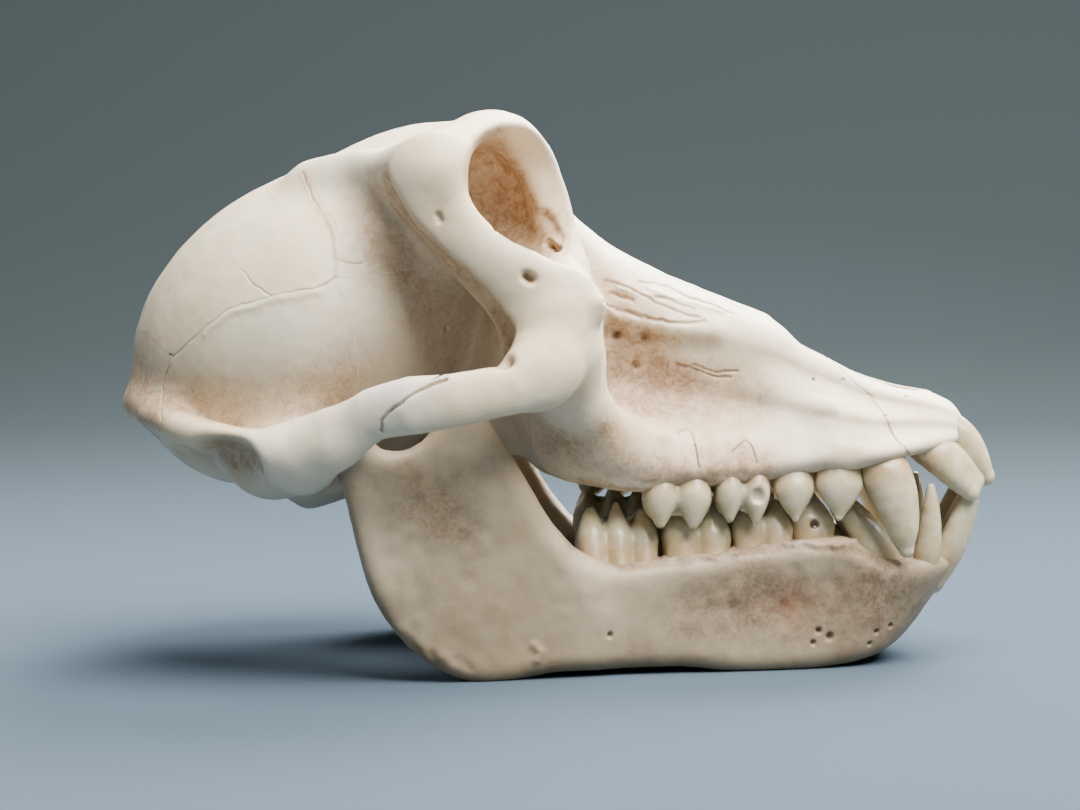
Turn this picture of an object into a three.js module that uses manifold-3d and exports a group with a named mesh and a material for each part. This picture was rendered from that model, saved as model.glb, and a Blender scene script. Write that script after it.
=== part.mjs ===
// Baboon skull with its lower jaw, life size, resting on the lower jaw. Millimetres, +X towards the snout,
// +Z up, symmetric about the XZ plane but for one lost molar. The bone is described as smooth distance
// fields, negative inside, which are meshed, coarsened where they are flat, given their teeth and parted into
// bones along the sutures.
import * as THREE from "three";
import { edgeTable, triTable } from "three/addons/objects/MarchingCubes.js";
import { mergeVertices } from "three/addons/utils/BufferGeometryUtils.js";
import Module from "manifold-3d";

const wasm = await Module();
wasm.setup();

// Meshes
const SUTURE_GAP = 0.3; // between neighbouring bones
const JOINT_GAP = 0.9; // between the jaw's head and its socket
const CELL = { cranium: 2.3, jaw: 2.1 }; // edge of a sampling cube
const TRIANGLES = { cranium: 4200, jaw: 1500 };
const SHAPING = { evenness: 0.002, limit: Infinity }; // how much a long edge counts, and the costliest merging
const TRIMMING = { evenness: 0.00001, limit: 0.03 };
const CRANIUM_BOX = { low: [-92, -57, 24], high: [86, 57, 112] };
const JAW_BOX = { low: [-50, -52, -4], high: [84, 52, 60] };

// Cranium: ellipsoids by centre, half sizes and pitch in degrees; rods by points of x, y, z and radius
const BRAINCASE = { at: [-46.5, 0, 65.5], half: [40, 36, 30], pitch: 29 };
const BRAIN = { at: [-49, 0, 64.5], half: [29.5, 29, 24], pitch: 28 };
const FOREHEAD = { at: [-24, 0, 85], half: [22, 23, 20.5], pitch: 8 };
const ORBIT_FLOOR = { at: [-2, 23, 71], half: [9, 18, 8.5], pitch: 0 };
const CONDYLE = { at: [-47, 9.5, 36.6], half: [6.5, 4.8, 4.6], pitch: -20 };
const PALATE = { at: [28, 0, 34.5], half: [43, 14.5, 10], pitch: 0 };
// Share of the braincase's width along X
const TEMPLE_PINCH = [[-60, 1], [-45, 1], [-30, 0.88], [-18, 0.8], [0, 0.8]];
const BROW = [
  [-11, 0, 100.2, 4.4], [-10.5, 9, 101, 4.4], [-13, 19, 100.8, 4.4], [-17.5, 28, 98.8, 4.3],
  [-22.5, 34.5, 95.5, 4.6],
];
const TEMPLE_RIDGE = [[-23, 34, 96, 3.8], [-30, 28.5, 97, 2.8], [-38, 20.5, 97, 1.8], [-48, 13, 94.5, 1]];
const EYE_FUNNEL = [[-12.5, 21.5, 89.5, 15.2], [-28.5, 14.5, 85.5, 9.5]];
const EYE_SEPTUM = [[-25, 33, 92, 4.5], [-22, 34, 86, 4.5], [-16, 34, 79, 5], [-10, 33, 73, 5]];
const EYE_HOLE = [[-24.5, 14.5, 85.5, 4.5], [-9.5, 21.5, 90, 12.2], [-3.8, 34.5, 91.5, 14.7]];
const CHEEK_STRAP = [
  [-24.3, 37, 94.5, 5], [-22, 38.8, 88.6, 4.7], [-18.2, 40.2, 85, 4.2], [-13.7, 41, 81.3, 4],
  [-7.6, 41, 77, 4.9], [0.5, 38, 70.5, 6.9],
];
const CHEEK_BUTTRESS = [[1, 35, 61, 7], [7, 28.5, 53, 6.5], [12, 24.5, 47.5, 6], [20, 21, 43, 5]];
const CHEEK_BODY = [[0.5, 38, 69, 6.8], [1, 38, 62, 7.2], [-4, 44, 57.5, 4.8]];
const CHEEK_ROOT = [[-4, 14, 60, 12], [0, 27, 63, 9.5], [1, 36, 65, 7.6]];
const ARCH = [
  [-3, 45, 58.5, 5], [-10, 48.5, 55.6, 4.6], [-20, 50, 53.8, 5], [-27, 49.8, 53, 5.3], [-34, 48, 51.4, 4.8],
  [-40, 45.5, 47.5, 4.8], [-46, 42, 44.6, 4.4],
];
const EAR = [[-54, 24, 43, 10], [-48, 37, 41, 5.5]];
const CREST = [
  [-43, 44, 45.5, 3.2], [-49, 42.5, 43.4, 3.2], [-56, 41, 43.8, 3.2], [-65, 37, 46, 3], [-72, 32, 47.6, 2.8],
  [-78.5, 22, 49.3, 2.4], [-82.5, 10, 50.3, 2], [-83.4, 0, 50, 1.8],
];
const SKULL_BASE = [[-8, 0, 58, 10], [-34, 0, 45, 9], [-50, 0, 38, 8.5]];
const WING_PLATE = [[-3, 17.5, 46, 6], [-14, 15.5, 48, 6], [-24, 13, 53, 6]];
const NOSE_HOLE = [
  [24, 0, 58, 4.5], [40, 0, 59.5, 6.5], [48, 0, 60.5, 7], [58, 0, 57, 6.6], [67, 0, 53.5, 4.5],
];
const THROAT = [[-16, 0, 44, 9], [-2, 0, 47, 6.5], [8, 0, 48, 5]];
const NECK_HOLE = [[-55, 0, 50, 7], [-60.5, 0, 28, 8.5]];
const TEMPLE_HOLLOW = [
  [-43, 30, 92.5, 4.5], [-36, 35, 91.3, 6], [-31, 37.5, 83.5, 6], [-21, 39, 73.8, 6], [-13, 39, 64.8, 5.5],
];
const MASTOID_HOLLOW = { at: [-63, 41.5, 42.4], half: [8, 5.5, 4], pitch: -6 };
const STRAP_FLATNESS = 2.3; // how many times thinner across Y than along the section
const BODY_FLATNESS = 1.35;
const ARCH_FLATNESS = 2.1;
const PLATE_FLATNESS = 3.2;

// Muzzle: heights and half widths along X
const MUZZLE_TOP = [
  [-12, 96], [-3, 93], [2, 88.4], [7, 84], [13, 80], [20, 76.4], [28, 73.1], [36, 70], [43.7, 66.8], [48, 63.5],
  [54, 60.3], [60, 56.9], [66, 54.6], [72, 53.1], [77, 50.9], [81, 48.2],
];
const MUZZLE_FOOT = [
  [-8, 47], [-4.5, 40], [0, 37], [8, 35.7], [20, 35.4], [30, 35.7], [40, 36.5], [50, 38], [58, 38.8],
  [66, 40.4], [74, 41.6], [82, 43],
];
const GUM_WIDTH = [
  [-10, 20], [-4, 24], [4, 25.5], [20, 26], [32, 25], [45, 23], [56, 22], [62, 22], [68, 18.8], [74, 14],
  [78, 10.5], [82, 7],
];
const FOSSA_WIDTH = [
  [-5, 12], [8, 10.5], [20, 11], [32, 13.5], [45, 16.5], [56, 17.5], [64, 15.5], [72, 11.5], [82, 6],
];
const RIDGE_WIDTH = [[-5, 8], [4, 9.5], [12, 13], [25, 14], [38, 13], [50, 12], [62, 11], [72, 9], [82, 5.5]];
const GUM_LEVEL = 0.08; // of the muzzle's height at each section
const FOSSA_LEVEL = 0.47;
const RIDGE_LEVEL = 0.76;
const MUZZLE_ENDS = [-9, 80.5];
const MUZZLE_FILLETS = { top: 3, ends: 4 };
const SIDE_SLOPE = 0.8; // corrects the distance measured across a leaning surface
const TOP_SLOPE = 0.85;
const PINCH_SLOPE = 0.95;

// Lower jaw: its outline from the side, the middle of its wall from above and half the wall's thickness
const JAW_OUTLINE = [
  [79, 20], [77, 15.8], [73, 9.6], [68, 4.8], [62, 1.6], [54, 0], [44, -0.5], [34, -0.3], [24, 0.8], [8, 0.9],
  [-2, 0.7], [-10, -0.6], [-17, -0.4], [-24.3, 3], [-30, 8], [-34.1, 13.8], [-36.6, 20], [-38.4, 28],
  [-40.2, 36.5], [-43.5, 42.5], [-42.6, 46.2], [-38.5, 46.8], [-34, 44.6], [-29.5, 44.2], [-25, 46.8],
  [-20.5, 53], [-16.5, 55], [-13.2, 49], [-7.5, 39.7], [-3.7, 33], [0, 27.5], [5, 22.8], [12, 21], [23, 22],
  [38, 24], [50, 25.2], [56, 25], [61, 21.8], [66, 20.4], [74, 20.8],
];
const JAW_PLAN = [
  [-46, 41], [-40, 40.5], [-30, 38.5], [-15, 35], [0, 29.5], [12, 24.5], [30, 21.5], [46, 19], [58, 16.5],
  [67, 12.5], [73, 7], [75, 0],
];
const JAW_THICKNESS = [
  [-45, 3], [-30, 2.6], [-15, 3], [0, 4.4], [10, 5.4], [30, 5.2], [50, 5], [62, 5.4], [74, 6.6],
];
const JAW_HEAD = { at: [-39.5, 37, 44.4], half: [4.2, 6.2, 3.2], pitch: 0 };
const JAW_FILLETS = { edge: 4, head: 3 };
const OUTLINE_STEPS = 120;
const PLAN_STEPS = 40;
const CHIN_SLOPE = 0.62; // how far the front leans back for each millimetre below the gums
const CHIN_GUMS = 21;
const CHIN_REACH = [[30, 0], [70, 1]]; // share of that lean along X

// Teeth: root and tip of the crown, half length, half width, turn of the long side in degrees, lobes in a row
const CROWN = [[-0.5, 0.62, 0.62], [0, 0.88, 0.86], [0.35, 1.04, 1], [0.7, 0.84, 0.8], [0.92, 0.44, 0.46]];
const FANG = [[-0.35, 0.5, 0.5], [0, 0.9, 0.9], [0.2, 1, 1], [0.55, 0.72, 0.76], [0.88, 0.34, 0.34]];
const BLADE = [[-0.45, 0.6, 0.7], [0, 0.8, 1], [0.45, 0.98, 0.95], [0.85, 1, 0.62], [0.97, 0.92, 0.34]];
const RING_SIDES = 8;
const LOBE_OVERLAP = 1.12; // how far the lobes of one tooth run into each other
const UPPER_TEETH = [
  { form: CROWN, root: [22.6, 21.3, 35.8], tip: [22.4, 24.6, 27], long: 6.5, wide: 4.3, turn: -3, lobes: 2 },
  { form: CROWN, root: [35.1, 20.2, 36.2], tip: [35, 23.2, 28], long: 5.1, wide: 4.1, turn: -8, lobes: 2 },
  { form: CROWN, root: [44.7, 18.8, 37.2], tip: [45.2, 21.4, 29], long: 3.6, wide: 3.8, turn: -8, lobes: 1 },
  { form: CROWN, root: [53, 18.2, 38.2], tip: [52.6, 20.6, 29.2], long: 4, wide: 3.6, turn: -8, lobes: 1 },
  { form: FANG, root: [62.3, 17.6, 39.2], tip: [66.1, 19.4, 21.7], long: 5.1, wide: 3.7, turn: -12, lobes: 1 },
];
const LOST_MOLAR_PAIR = {
  form: CROWN, root: [9.8, 21.8, 36], tip: [9.6, 25.2, 27.6], long: 5.8, wide: 4, turn: 4, lobes: 2,
};
const UPPER_INCISORS = [
  { form: BLADE, root: [73.6, 10.2, 42.4], tip: [78.7, 9.4, 33.3], long: 4.3, wide: 2.6, turn: -38, lobes: 1 },
  { form: BLADE, root: [78.3, 4.3, 44.4], tip: [85.2, 4.15, 34.8], long: 3.8, wide: 3.2, turn: -82, lobes: 1 },
];
const LOWER_TEETH = [
  { form: CROWN, root: [11.2, 21.8, 21.6], tip: [10.8, 16.6, 31.5], long: 7.9, wide: 3.8, turn: -10, lobes: 3 },
  { form: CROWN, root: [26.5, 20.3, 22.2], tip: [26.4, 16, 31], long: 6.5, wide: 3.8, turn: -8, lobes: 2 },
  { form: CROWN, root: [39.2, 18.2, 23.8], tip: [39.2, 14.2, 31], long: 5.8, wide: 3.6, turn: -8, lobes: 2 },
  { form: CROWN, root: [49.1, 16.7, 25], tip: [49.1, 13.6, 31.6], long: 3.8, wide: 3.4, turn: -12, lobes: 1 },
  { form: FANG, root: [59.6, 14.9, 22.8], tip: [55.4, 12.8, 32], long: 5.6, wide: 3.2, turn: -22, lobes: 1 },
  { form: FANG, root: [69.6, 11.6, 20], tip: [71.3, 13, 36.2], long: 2.9, wide: 2.9, turn: -30, lobes: 1 },
  { form: BLADE, root: [74, 7.8, 20.4], tip: [78.4, 7.5, 32.4], long: 3.3, wide: 2.3, turn: -50, lobes: 1 },
  { form: BLADE, root: [76, 2.95, 20.2], tip: [81.4, 2.85, 33.2], long: 2.6, wide: 2.3, turn: -86, lobes: 1 },
];

// Sutures: outlines seen from the side, cut through the cranium over a stretch of its width
const MIDDLE = SUTURE_GAP / 2;
const BEYOND = 70; // past the widest part of the skull
const CORONAL = [[-52.5, 112], [-50.2, 95.8], [-47.1, 90.2], [-43.2, 84.5], [-42.3, 80.2], [-42, 75.8]];
const SQUAMOSAL = [[-45.5, 73.8], [-53.2, 72.6], [-62.8, 69.8], [-67.6, 65.8], [-74, 60.4]];
const LAMBDOID = [[-79, 64.5], [-98, 67]];
const CHEEK_OUTLINE = [
  [14, 42], [14, 82], [-6, 88], [-18.5, 92.3], [-22.2, 88.9], [-27.5, 87.9], [-26.5, 83], [-18, 74],
  [-13.5, 66], [-14, 61.5], [-20.9, 59.5], [-26.2, 55.5], [-30.6, 52.5], [-33, 50.2], [-33.2, 42],
];
const ARCH_REAR_OUTLINE = [
  [-33.2, 40], [-33, 50.2], [-30.6, 52.5], [-26.2, 55.5], [-20.9, 59.5], [-24, 64], [-46, 62], [-50, 36],
  [-40, 32],
];
const TEMPLE_OUTLINE = [
  ...SQUAMOSAL, [-76.2, 54], [-77.5, 46], [-76, 24], [-38, 24], [-38, 62], [-41.5, 75.4],
];
const OCCIPUT_OUTLINE = [...LAMBDOID.toReversed(), [-74, 60.4], [-60, 50], [-40, 48], [-38, 22], [-98, 22]];
const CROWN_OUTLINE = [...CORONAL, ...SQUAMOSAL, ...LAMBDOID, [-98, 112]];
const BROW_OUTLINE = [...CORONAL, [-30, 77], [-16, 80], [-5, 84], [1.2, 88.9], [8, 95], [8, 112]];
const SNOUT_OUTLINE = [
  [45.5, 76], [48, 66], [52.6, 60], [58.2, 54.2], [62.9, 48.8], [67, 43.5], [68.6, 38], [69, 26], [96, 26],
  [96, 76],
];
const MUZZLE_OUTLINE = [
  [-5, 84], [1.2, 88.9], [8, 95], [90, 95], [90, 26], [-5, 26], [-6, 50], [-8, 60], [-8, 76],
];
const CHEEK_FROM = 31; // distance of the cheekbone's inner face from the middle plane
const ARCH_FROM = 39;
const TEMPLE_FROM = 17;
const UNDER_FLOOR = { half: 90, depth: 9 }; // what is cut away below the flats that the jaw rests on
const NASAL = { from: 1.4, to: 47, step: 5, depth: 6, above: 6, half: 4.6 };

// Colours of the bones
const TINTS = {
  frontal: 0xe6dac2, parietal_left: 0xe9dfca, parietal_right: 0xe9dfca, occipital: 0xe1d3b8,
  temporal_left: 0xe4d6bc, temporal_right: 0xe4d6bc, zygomatic_left: 0xe9e0cd, zygomatic_right: 0xe9e0cd,
  maxilla_left: 0xe0cfb1, maxilla_right: 0xe0cfb1, premaxilla: 0xe5d8be, nasal: 0xe3d5ba, sphenoid: 0xd8c6a6, mandible: 0xe5d8bf,
};
const BONE_ROUGHNESS = 0.62;

const clamp01 = (t) => Math.min(Math.max(t, 0), 1);
const smoothStep = (t) => t * t * (3 - 2 * t);

// Smooth joins of two fields, k is the width of the fillet
function join(a, b, k) {
  const h = Math.max(k - Math.abs(a - b), 0) / k;
  return Math.min(a, b) - (h * h * k) / 4;
}
const cut = (a, b, k) => -join(-a, b, k);
const common = (a, b, k) => -join(-a, -b, k);

// A smooth curve v(u) through a few [u, v] points, level beyond its ends
function profile(points) {
  const last = points.length - 1;
  const slopes = points.map((point, i) => {
    const before = points[Math.max(i - 1, 0)];
    const after = points[Math.min(i + 1, last)];
    return (after[1] - before[1]) / (after[0] - before[0]);
  });
  return (u) => {
    if (u <= points[0][0]) return points[0][1];
    if (u >= points[last][0]) return points[last][1];
    let i = 0;
    while (u > points[i + 1][0]) i += 1;
    const span = points[i + 1][0] - points[i][0];
    const t = (u - points[i][0]) / span;
    const rise = smoothStep(t);
    const leave = t * (1 - t) * (1 - t) * span * slopes[i];
    const arrive = t * t * (t - 1) * span * slopes[i + 1];
    return points[i][1] * (1 - rise) + points[i + 1][1] * rise + leave + arrive;
  };
}

// Field of an ellipsoid turned by its pitch, nose up, in the XZ plane
function ellipsoid({ at, half, pitch }) {
  const c = Math.cos(THREE.MathUtils.degToRad(pitch));
  const s = Math.sin(THREE.MathUtils.degToRad(pitch));
  return (x, y, z) => {
    const dx = x - at[0];
    const dz = z - at[2];
    const u = (dx * c + dz * s) / half[0];
    const v = (y - at[1]) / half[1];
    const w = (dz * c - dx * s) / half[2];
    const share = Math.hypot(u, v, w);
    const slope = Math.hypot(u / half[0], v / half[1], w / half[2]);
    return slope > 0 ? (share * (share - 1)) / slope : -Math.min(...half);
  };
}

// Field of a bent rod through its points, its section made thinner across Y
function rod(points, flatness = 1) {
  const parts = points.slice(1).map((end, i) => {
    const start = points[i];
    const run = [end[0] - start[0], (end[1] - start[1]) * flatness, end[2] - start[2]];
    return { start, run, growth: end[3] - start[3], square: run[0] ** 2 + run[1] ** 2 + run[2] ** 2 };
  });
  return (x, y, z) => {
    let best = Infinity;
    for (const { start, run, growth, square } of parts) {
      const px = x - start[0];
      const py = (y - start[1]) * flatness;
      const pz = z - start[2];
      const t = clamp01((px * run[0] + py * run[1] + pz * run[2]) / square);
      const away = Math.hypot(px - t * run[0], py - t * run[1], pz - t * run[2]);
      best = Math.min(best, away - start[3] - t * growth);
    }
    return best / Math.sqrt(flatness);
  };
}

const muzzleTop = profile(MUZZLE_TOP);
const muzzleFoot = profile(MUZZLE_FOOT);
const gumWidth = profile(GUM_WIDTH);
const fossaWidth = profile(FOSSA_WIDTH);
const ridgeWidth = profile(RIDGE_WIDTH);

// Half width of the muzzle at a height: wide at the gums, hollow above them, wide again at the upper ridge
function muzzleHalfWidth(x, z) {
  const foot = muzzleFoot(x);
  const level = clamp01((z - foot) / (muzzleTop(x) - foot));
  const fossa = fossaWidth(x);
  const ridge = ridgeWidth(x);
  if (level < FOSSA_LEVEL) {
    const gum = gumWidth(x);
    return gum + (fossa - gum) * smoothStep(clamp01((level - GUM_LEVEL) / (FOSSA_LEVEL - GUM_LEVEL)));
  }
  if (level < RIDGE_LEVEL) {
    return fossa + (ridge - fossa) * smoothStep((level - FOSSA_LEVEL) / (RIDGE_LEVEL - FOSSA_LEVEL));
  }
  const t = (level - RIDGE_LEVEL) / (1 - RIDGE_LEVEL);
  return ridge * Math.sqrt(Math.max(1 - t * t, 0));
}

function muzzle(x, y, z) {
  const side = (y - muzzleHalfWidth(x, z)) * SIDE_SLOPE;
  const upright = Math.max(z - muzzleTop(x), muzzleFoot(x) - z) * TOP_SLOPE;
  const ends = Math.max(x - MUZZLE_ENDS[1], MUZZLE_ENDS[0] - x);
  return common(common(side, upright, MUZZLE_FILLETS.top), ends, MUZZLE_FILLETS.ends);
}

const pinch = profile(TEMPLE_PINCH);
const braincaseBody = ellipsoid(BRAINCASE);
const braincase = (x, y, z) => braincaseBody(x, y / pinch(x), z) * PINCH_SLOPE;

// What the cranium is made of, in order: each field is joined on with its fillet
const CRANIUM_JOINS = [
  [ellipsoid(FOREHEAD), 10],
  [rod(SKULL_BASE), 8],
  [rod(EYE_FUNNEL), 6],
  [rod(EYE_SEPTUM), 6],
  [rod(TEMPLE_RIDGE), 10],
  [rod(BROW), 11],
  [muzzle, 7],
  [ellipsoid(ORBIT_FLOOR), 6],
  [rod(WING_PLATE, PLATE_FLATNESS), 4],
  [rod(CHEEK_ROOT), 7],
  [rod(CHEEK_BUTTRESS), 7],
  [rod(CHEEK_BODY, BODY_FLATNESS), 6],
  [rod(CHEEK_STRAP, STRAP_FLATNESS), 4],
  [rod(ARCH, ARCH_FLATNESS), 5],
  [rod(EAR), 8],
  [rod(CREST), 7],
  [ellipsoid(CONDYLE), 3],
];
const CRANIUM_CUTS = [
  [rod(THROAT), 3],
  [rod(EYE_HOLE), 2.5],
  [rod(NOSE_HOLE), 2],
  [ellipsoid(PALATE), 4],
  [ellipsoid(BRAIN), 2],
  [rod(NECK_HOLE), 2],
  [rod(TEMPLE_HOLLOW), 1.5],
  [ellipsoid(MASTOID_HOLLOW), 1.2],
];

const jawRound = [...JAW_OUTLINE, JAW_OUTLINE[0]].map(([x, z]) => new THREE.Vector2(x, z));
const outlineCurve = new THREE.SplineCurve(jawRound);
const outlinePoints = outlineCurve.getPoints(OUTLINE_STEPS);
const planCurve = new THREE.SplineCurve(JAW_PLAN.map(([x, y]) => new THREE.Vector2(x, y)));
const planPoints = planCurve.getPoints(PLAN_STEPS);
const jawThickness = profile(JAW_THICKNESS);
const chinReach = profile(CHIN_REACH);
const jawHead = ellipsoid(JAW_HEAD);

// Distance from a point to the line between two others, in one plane
function awayFrom(a, b, u, v) {
  const runU = b.x - a.x;
  const runV = b.y - a.y;
  const square = runU * runU + runV * runV || 1;
  const t = clamp01(((u - a.x) * runU + (v - a.y) * runV) / square);
  return Math.hypot(u - a.x - runU * t, v - a.y - runV * t);
}

// Signed distance to the jaw's outline seen from the side
function jawOutline(x, z) {
  let best = Infinity;
  let inside = false;
  for (let i = 1; i < outlinePoints.length; i += 1) {
    const a = outlinePoints[i - 1];
    const b = outlinePoints[i];
    best = Math.min(best, awayFrom(a, b, x, z));
    const spans = a.y > z !== b.y > z;
    if (spans && x < ((b.x - a.x) * (z - a.y)) / (b.y - a.y) + a.x) inside = !inside;
  }
  return inside ? -best : best;
}

function jawField(x, side, z) {
  const y = Math.abs(side);
  const leaned = x + (CHIN_GUMS - z) * CHIN_SLOPE * chinReach(x);
  let middle = Infinity;
  for (let i = 1; i < planPoints.length; i += 1) {
    middle = Math.min(middle, awayFrom(planPoints[i - 1], planPoints[i], leaned, y));
  }
  const wall = middle - jawThickness(leaned);
  const branch = common(wall, jawOutline(x, z), JAW_FILLETS.edge);
  return join(branch, jawHead(x, y, z), JAW_FILLETS.head);
}

function craniumField(x, side, z) {
  const y = Math.abs(side);
  let field = braincase(x, y, z);
  for (const [shape, fillet] of CRANIUM_JOINS) field = join(field, shape(x, y, z), fillet);
  for (const [shape, fillet] of CRANIUM_CUTS) field = cut(field, shape(x, y, z), fillet);
  return Math.max(field, JOINT_GAP - jawField(x, y, z));
}

const CORNERS = [[0, 0, 0], [1, 0, 0], [1, 1, 0], [0, 1, 0], [0, 0, 1], [1, 0, 1], [1, 1, 1], [0, 1, 1]];
const EDGES = [[0, 1], [1, 2], [2, 3], [3, 0], [4, 5], [5, 6], [6, 7], [7, 4], [0, 4], [1, 5], [2, 6], [3, 7]];
const TABLE_ROW = 16; // entries of the triangle table for each kind of cube
const NEAR_CORNER = 0.02; // nearest a vertex comes to the end of its cube edge

// Vertices and triangles of the surface where a field is zero, sampled on cubes
function meshField(field, { low, high }, cell) {
  const size = low.map((start, axis) => Math.ceil((high[axis] - start) / cell) + 1);
  const slot = ([i, j, k]) => (k * size[1] + j) * size[0] + i;
  const values = new Float64Array(size[0] * size[1] * size[2]);
  const cubes = [];
  for (let k = 0; k < size[2]; k += 1) {
    for (let j = 0; j < size[1]; j += 1) {
      for (let i = 0; i < size[0]; i += 1) {
        const value = field(low[0] + i * cell, low[1] + j * cell, low[2] + k * cell);
        values[slot([i, j, k])] = value || Number.EPSILON;
        if (i + 1 < size[0] && j + 1 < size[1] && k + 1 < size[2]) cubes.push([i, j, k]);
      }
    }
  }
  const vertices = [];
  const known = new Map();
  const vertexOn = (first, second) => {
    const [p, q] = slot(first) < slot(second) ? [first, second] : [second, first];
    const key = slot(p) * values.length + slot(q);
    if (!known.has(key)) {
      const share = values[slot(p)] / (values[slot(p)] - values[slot(q)]);
      const t = Math.min(Math.max(share, NEAR_CORNER), 1 - NEAR_CORNER);
      known.set(key, vertices.length);
      vertices.push(new THREE.Vector3(...p.map((v, axis) => low[axis] + (v + t * (q[axis] - v)) * cell)));
    }
    return known.get(key);
  };
  const triangles = [];
  for (const cube of cubes) {
    const corners = CORNERS.map((corner) => corner.map((step, axis) => cube[axis] + step));
    const kind = corners.reduce((bits, corner, bit) => bits + (values[slot(corner)] < 0 ? 2 ** bit : 0), 0);
    if (edgeTable[kind] === 0) continue;
    for (let t = kind * TABLE_ROW; triTable[t] >= 0; t += 3) {
      const ends = (turn) => EDGES[triTable[t + turn]].map((end) => corners[end]);
      triangles.push([0, 2, 1].map((turn) => vertexOn(...ends(turn))));
    }
  }
  return { vertices, triangles };
}

// A heap that gives back its cheapest entry first
class CheapestFirst {
  constructor() {
    this.entries = [];
  }

  push(entry) {
    const entries = this.entries;
    let slot = entries.length;
    entries.push(entry);
    while (slot > 0) {
      const above = (slot - 1) >> 1;
      if (entries[above].cost <= entry.cost) break;
      entries[slot] = entries[above];
      slot = above;
    }
    entries[slot] = entry;
  }

  pop() {
    const entries = this.entries;
    const top = entries[0];
    const last = entries.pop();
    if (entries.length === 0) return top;
    let slot = 0;
    for (;;) {
      let below = 2 * slot + 1;
      if (below >= entries.length) break;
      if (below + 1 < entries.length && entries[below + 1].cost < entries[below].cost) below += 1;
      if (entries[below].cost >= last.cost) break;
      entries[slot] = entries[below];
      slot = below;
    }
    entries[slot] = last;
    return top;
  }
}

const TURN_LIMIT = 0.3; // cosine of the furthest a triangle may turn when an edge is merged

const normalOf = (a, b, c) => b.clone().sub(a).cross(c.clone().sub(a));

// Square distances to the planes of a vertex's triangles, weighted by area: a symmetric matrix, a vector and
// a number
class PlaneSum {
  constructor() {
    this.matrix = new Float64Array(6);
    this.vector = new THREE.Vector3();
    this.constant = 0;
  }

  addTriangle(a, b, c) {
    const normal = normalOf(a, b, c);
    const area = normal.length() / 2;
    normal.normalize();
    const offset = -normal.dot(a);
    const { x, y, z } = normal;
    [x * x, x * y, x * z, y * y, y * z, z * z].forEach((term, i) => {
      this.matrix[i] += term * area;
    });
    this.vector.addScaledVector(normal, offset * area);
    this.constant += offset * offset * area;
  }

  add(other) {
    other.matrix.forEach((term, i) => {
      this.matrix[i] += term;
    });
    this.vector.add(other.vector);
    this.constant += other.constant;
  }

  at({ x, y, z }) {
    const [xx, xy, xz, yy, yz, zz] = this.matrix;
    const square = xx * x * x + yy * y * y + zz * z * z + 2 * (xy * x * y + xz * x * z + yz * y * z);
    return square + 2 * (this.vector.x * x + this.vector.y * y + this.vector.z * z) + this.constant;
  }
}

// Merges a closed mesh's edges, those that change its shape least first, until few enough triangles are left
function coarsen({ vertices, triangles }, target, { evenness, limit }) {
  const faces = triangles.map((face) => [...face]);
  const around = vertices.map(() => new Set());
  const planes = vertices.map(() => new PlaneSum());
  const version = vertices.map(() => 0);
  faces.forEach((face, index) => {
    const corners = face.map((vertex) => vertices[vertex]);
    for (const vertex of face) {
      around[vertex].add(index);
      planes[vertex].addTriangle(...corners);
    }
  });
  const neighbours = (vertex) => {
    const found = new Set();
    for (const index of around[vertex]) for (const other of faces[index]) found.add(other);
    found.delete(vertex);
    return found;
  };
  const heap = new CheapestFirst();
  const offer = (a, b) => {
    const middle = vertices[a].clone().lerp(vertices[b], 0.5);
    const cost = (point) => planes[a].at(point) + planes[b].at(point);
    const cheaper = (best, point) => (cost(point) < cost(best) ? point : best);
    const at = [vertices[a], vertices[b]].reduce(cheaper, middle);
    const length = vertices[a].distanceToSquared(vertices[b]);
    heap.push({ cost: cost(at) + evenness * length * length, a, b, at, stamp: version[a] + version[b] });
  };
  const turnsOver = (vertex, other, at) => {
    for (const index of around[vertex]) {
      const face = faces[index];
      if (face.includes(other)) continue;
      const before = normalOf(...face.map((corner) => vertices[corner]));
      const after = normalOf(...face.map((corner) => (corner === vertex ? at : vertices[corner])));
      if (before.dot(after) < TURN_LIMIT * before.length() * after.length()) return true;
    }
    return false;
  };
  vertices.forEach((point, vertex) => {
    for (const other of neighbours(vertex)) if (other > vertex) offer(vertex, other);
  });
  let left = faces.length;
  while (left > target && heap.entries.length > 0) {
    const { cost, a, b, at, stamp } = heap.pop();
    if (cost > limit) break;
    if (around[a].size === 0 || around[b].size === 0 || version[a] + version[b] !== stamp) continue;
    const near = neighbours(b);
    const shared = [...neighbours(a)].filter((vertex) => near.has(vertex));
    if (!near.has(a) || shared.length !== 2 || turnsOver(a, b, at) || turnsOver(b, a, at)) continue;
    for (const index of around[b]) {
      const face = faces[index];
      if (face.includes(a)) {
        for (const vertex of face) if (vertex !== b) around[vertex].delete(index);
        left -= 1;
      } else {
        face[face.indexOf(b)] = a;
        around[a].add(index);
      }
    }
    around[b].clear();
    vertices[a] = at.clone();
    planes[a].add(planes[b]);
    version[a] += 1;
    for (const other of neighbours(a)) {
      offer(a, other);
    }
  }
  const kept = [...new Set(around.flatMap((indices) => [...indices]))];
  return { vertices, triangles: kept.map((index) => faces[index]) };
}

// A closed solid of the vertices that the triangles use
function solidOf({ vertices, triangles }) {
  const used = [...new Set(triangles.flat())];
  const order = new Map(used.map((vertex, i) => [vertex, i]));
  const vertProperties = new Float32Array(used.flatMap((vertex) => vertices[vertex].toArray()));
  const triVerts = new Uint32Array(triangles.flat().map((vertex) => order.get(vertex)));
  return new wasm.Manifold(new wasm.Mesh({ numProp: 3, vertProperties, triVerts }));
}

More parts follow.
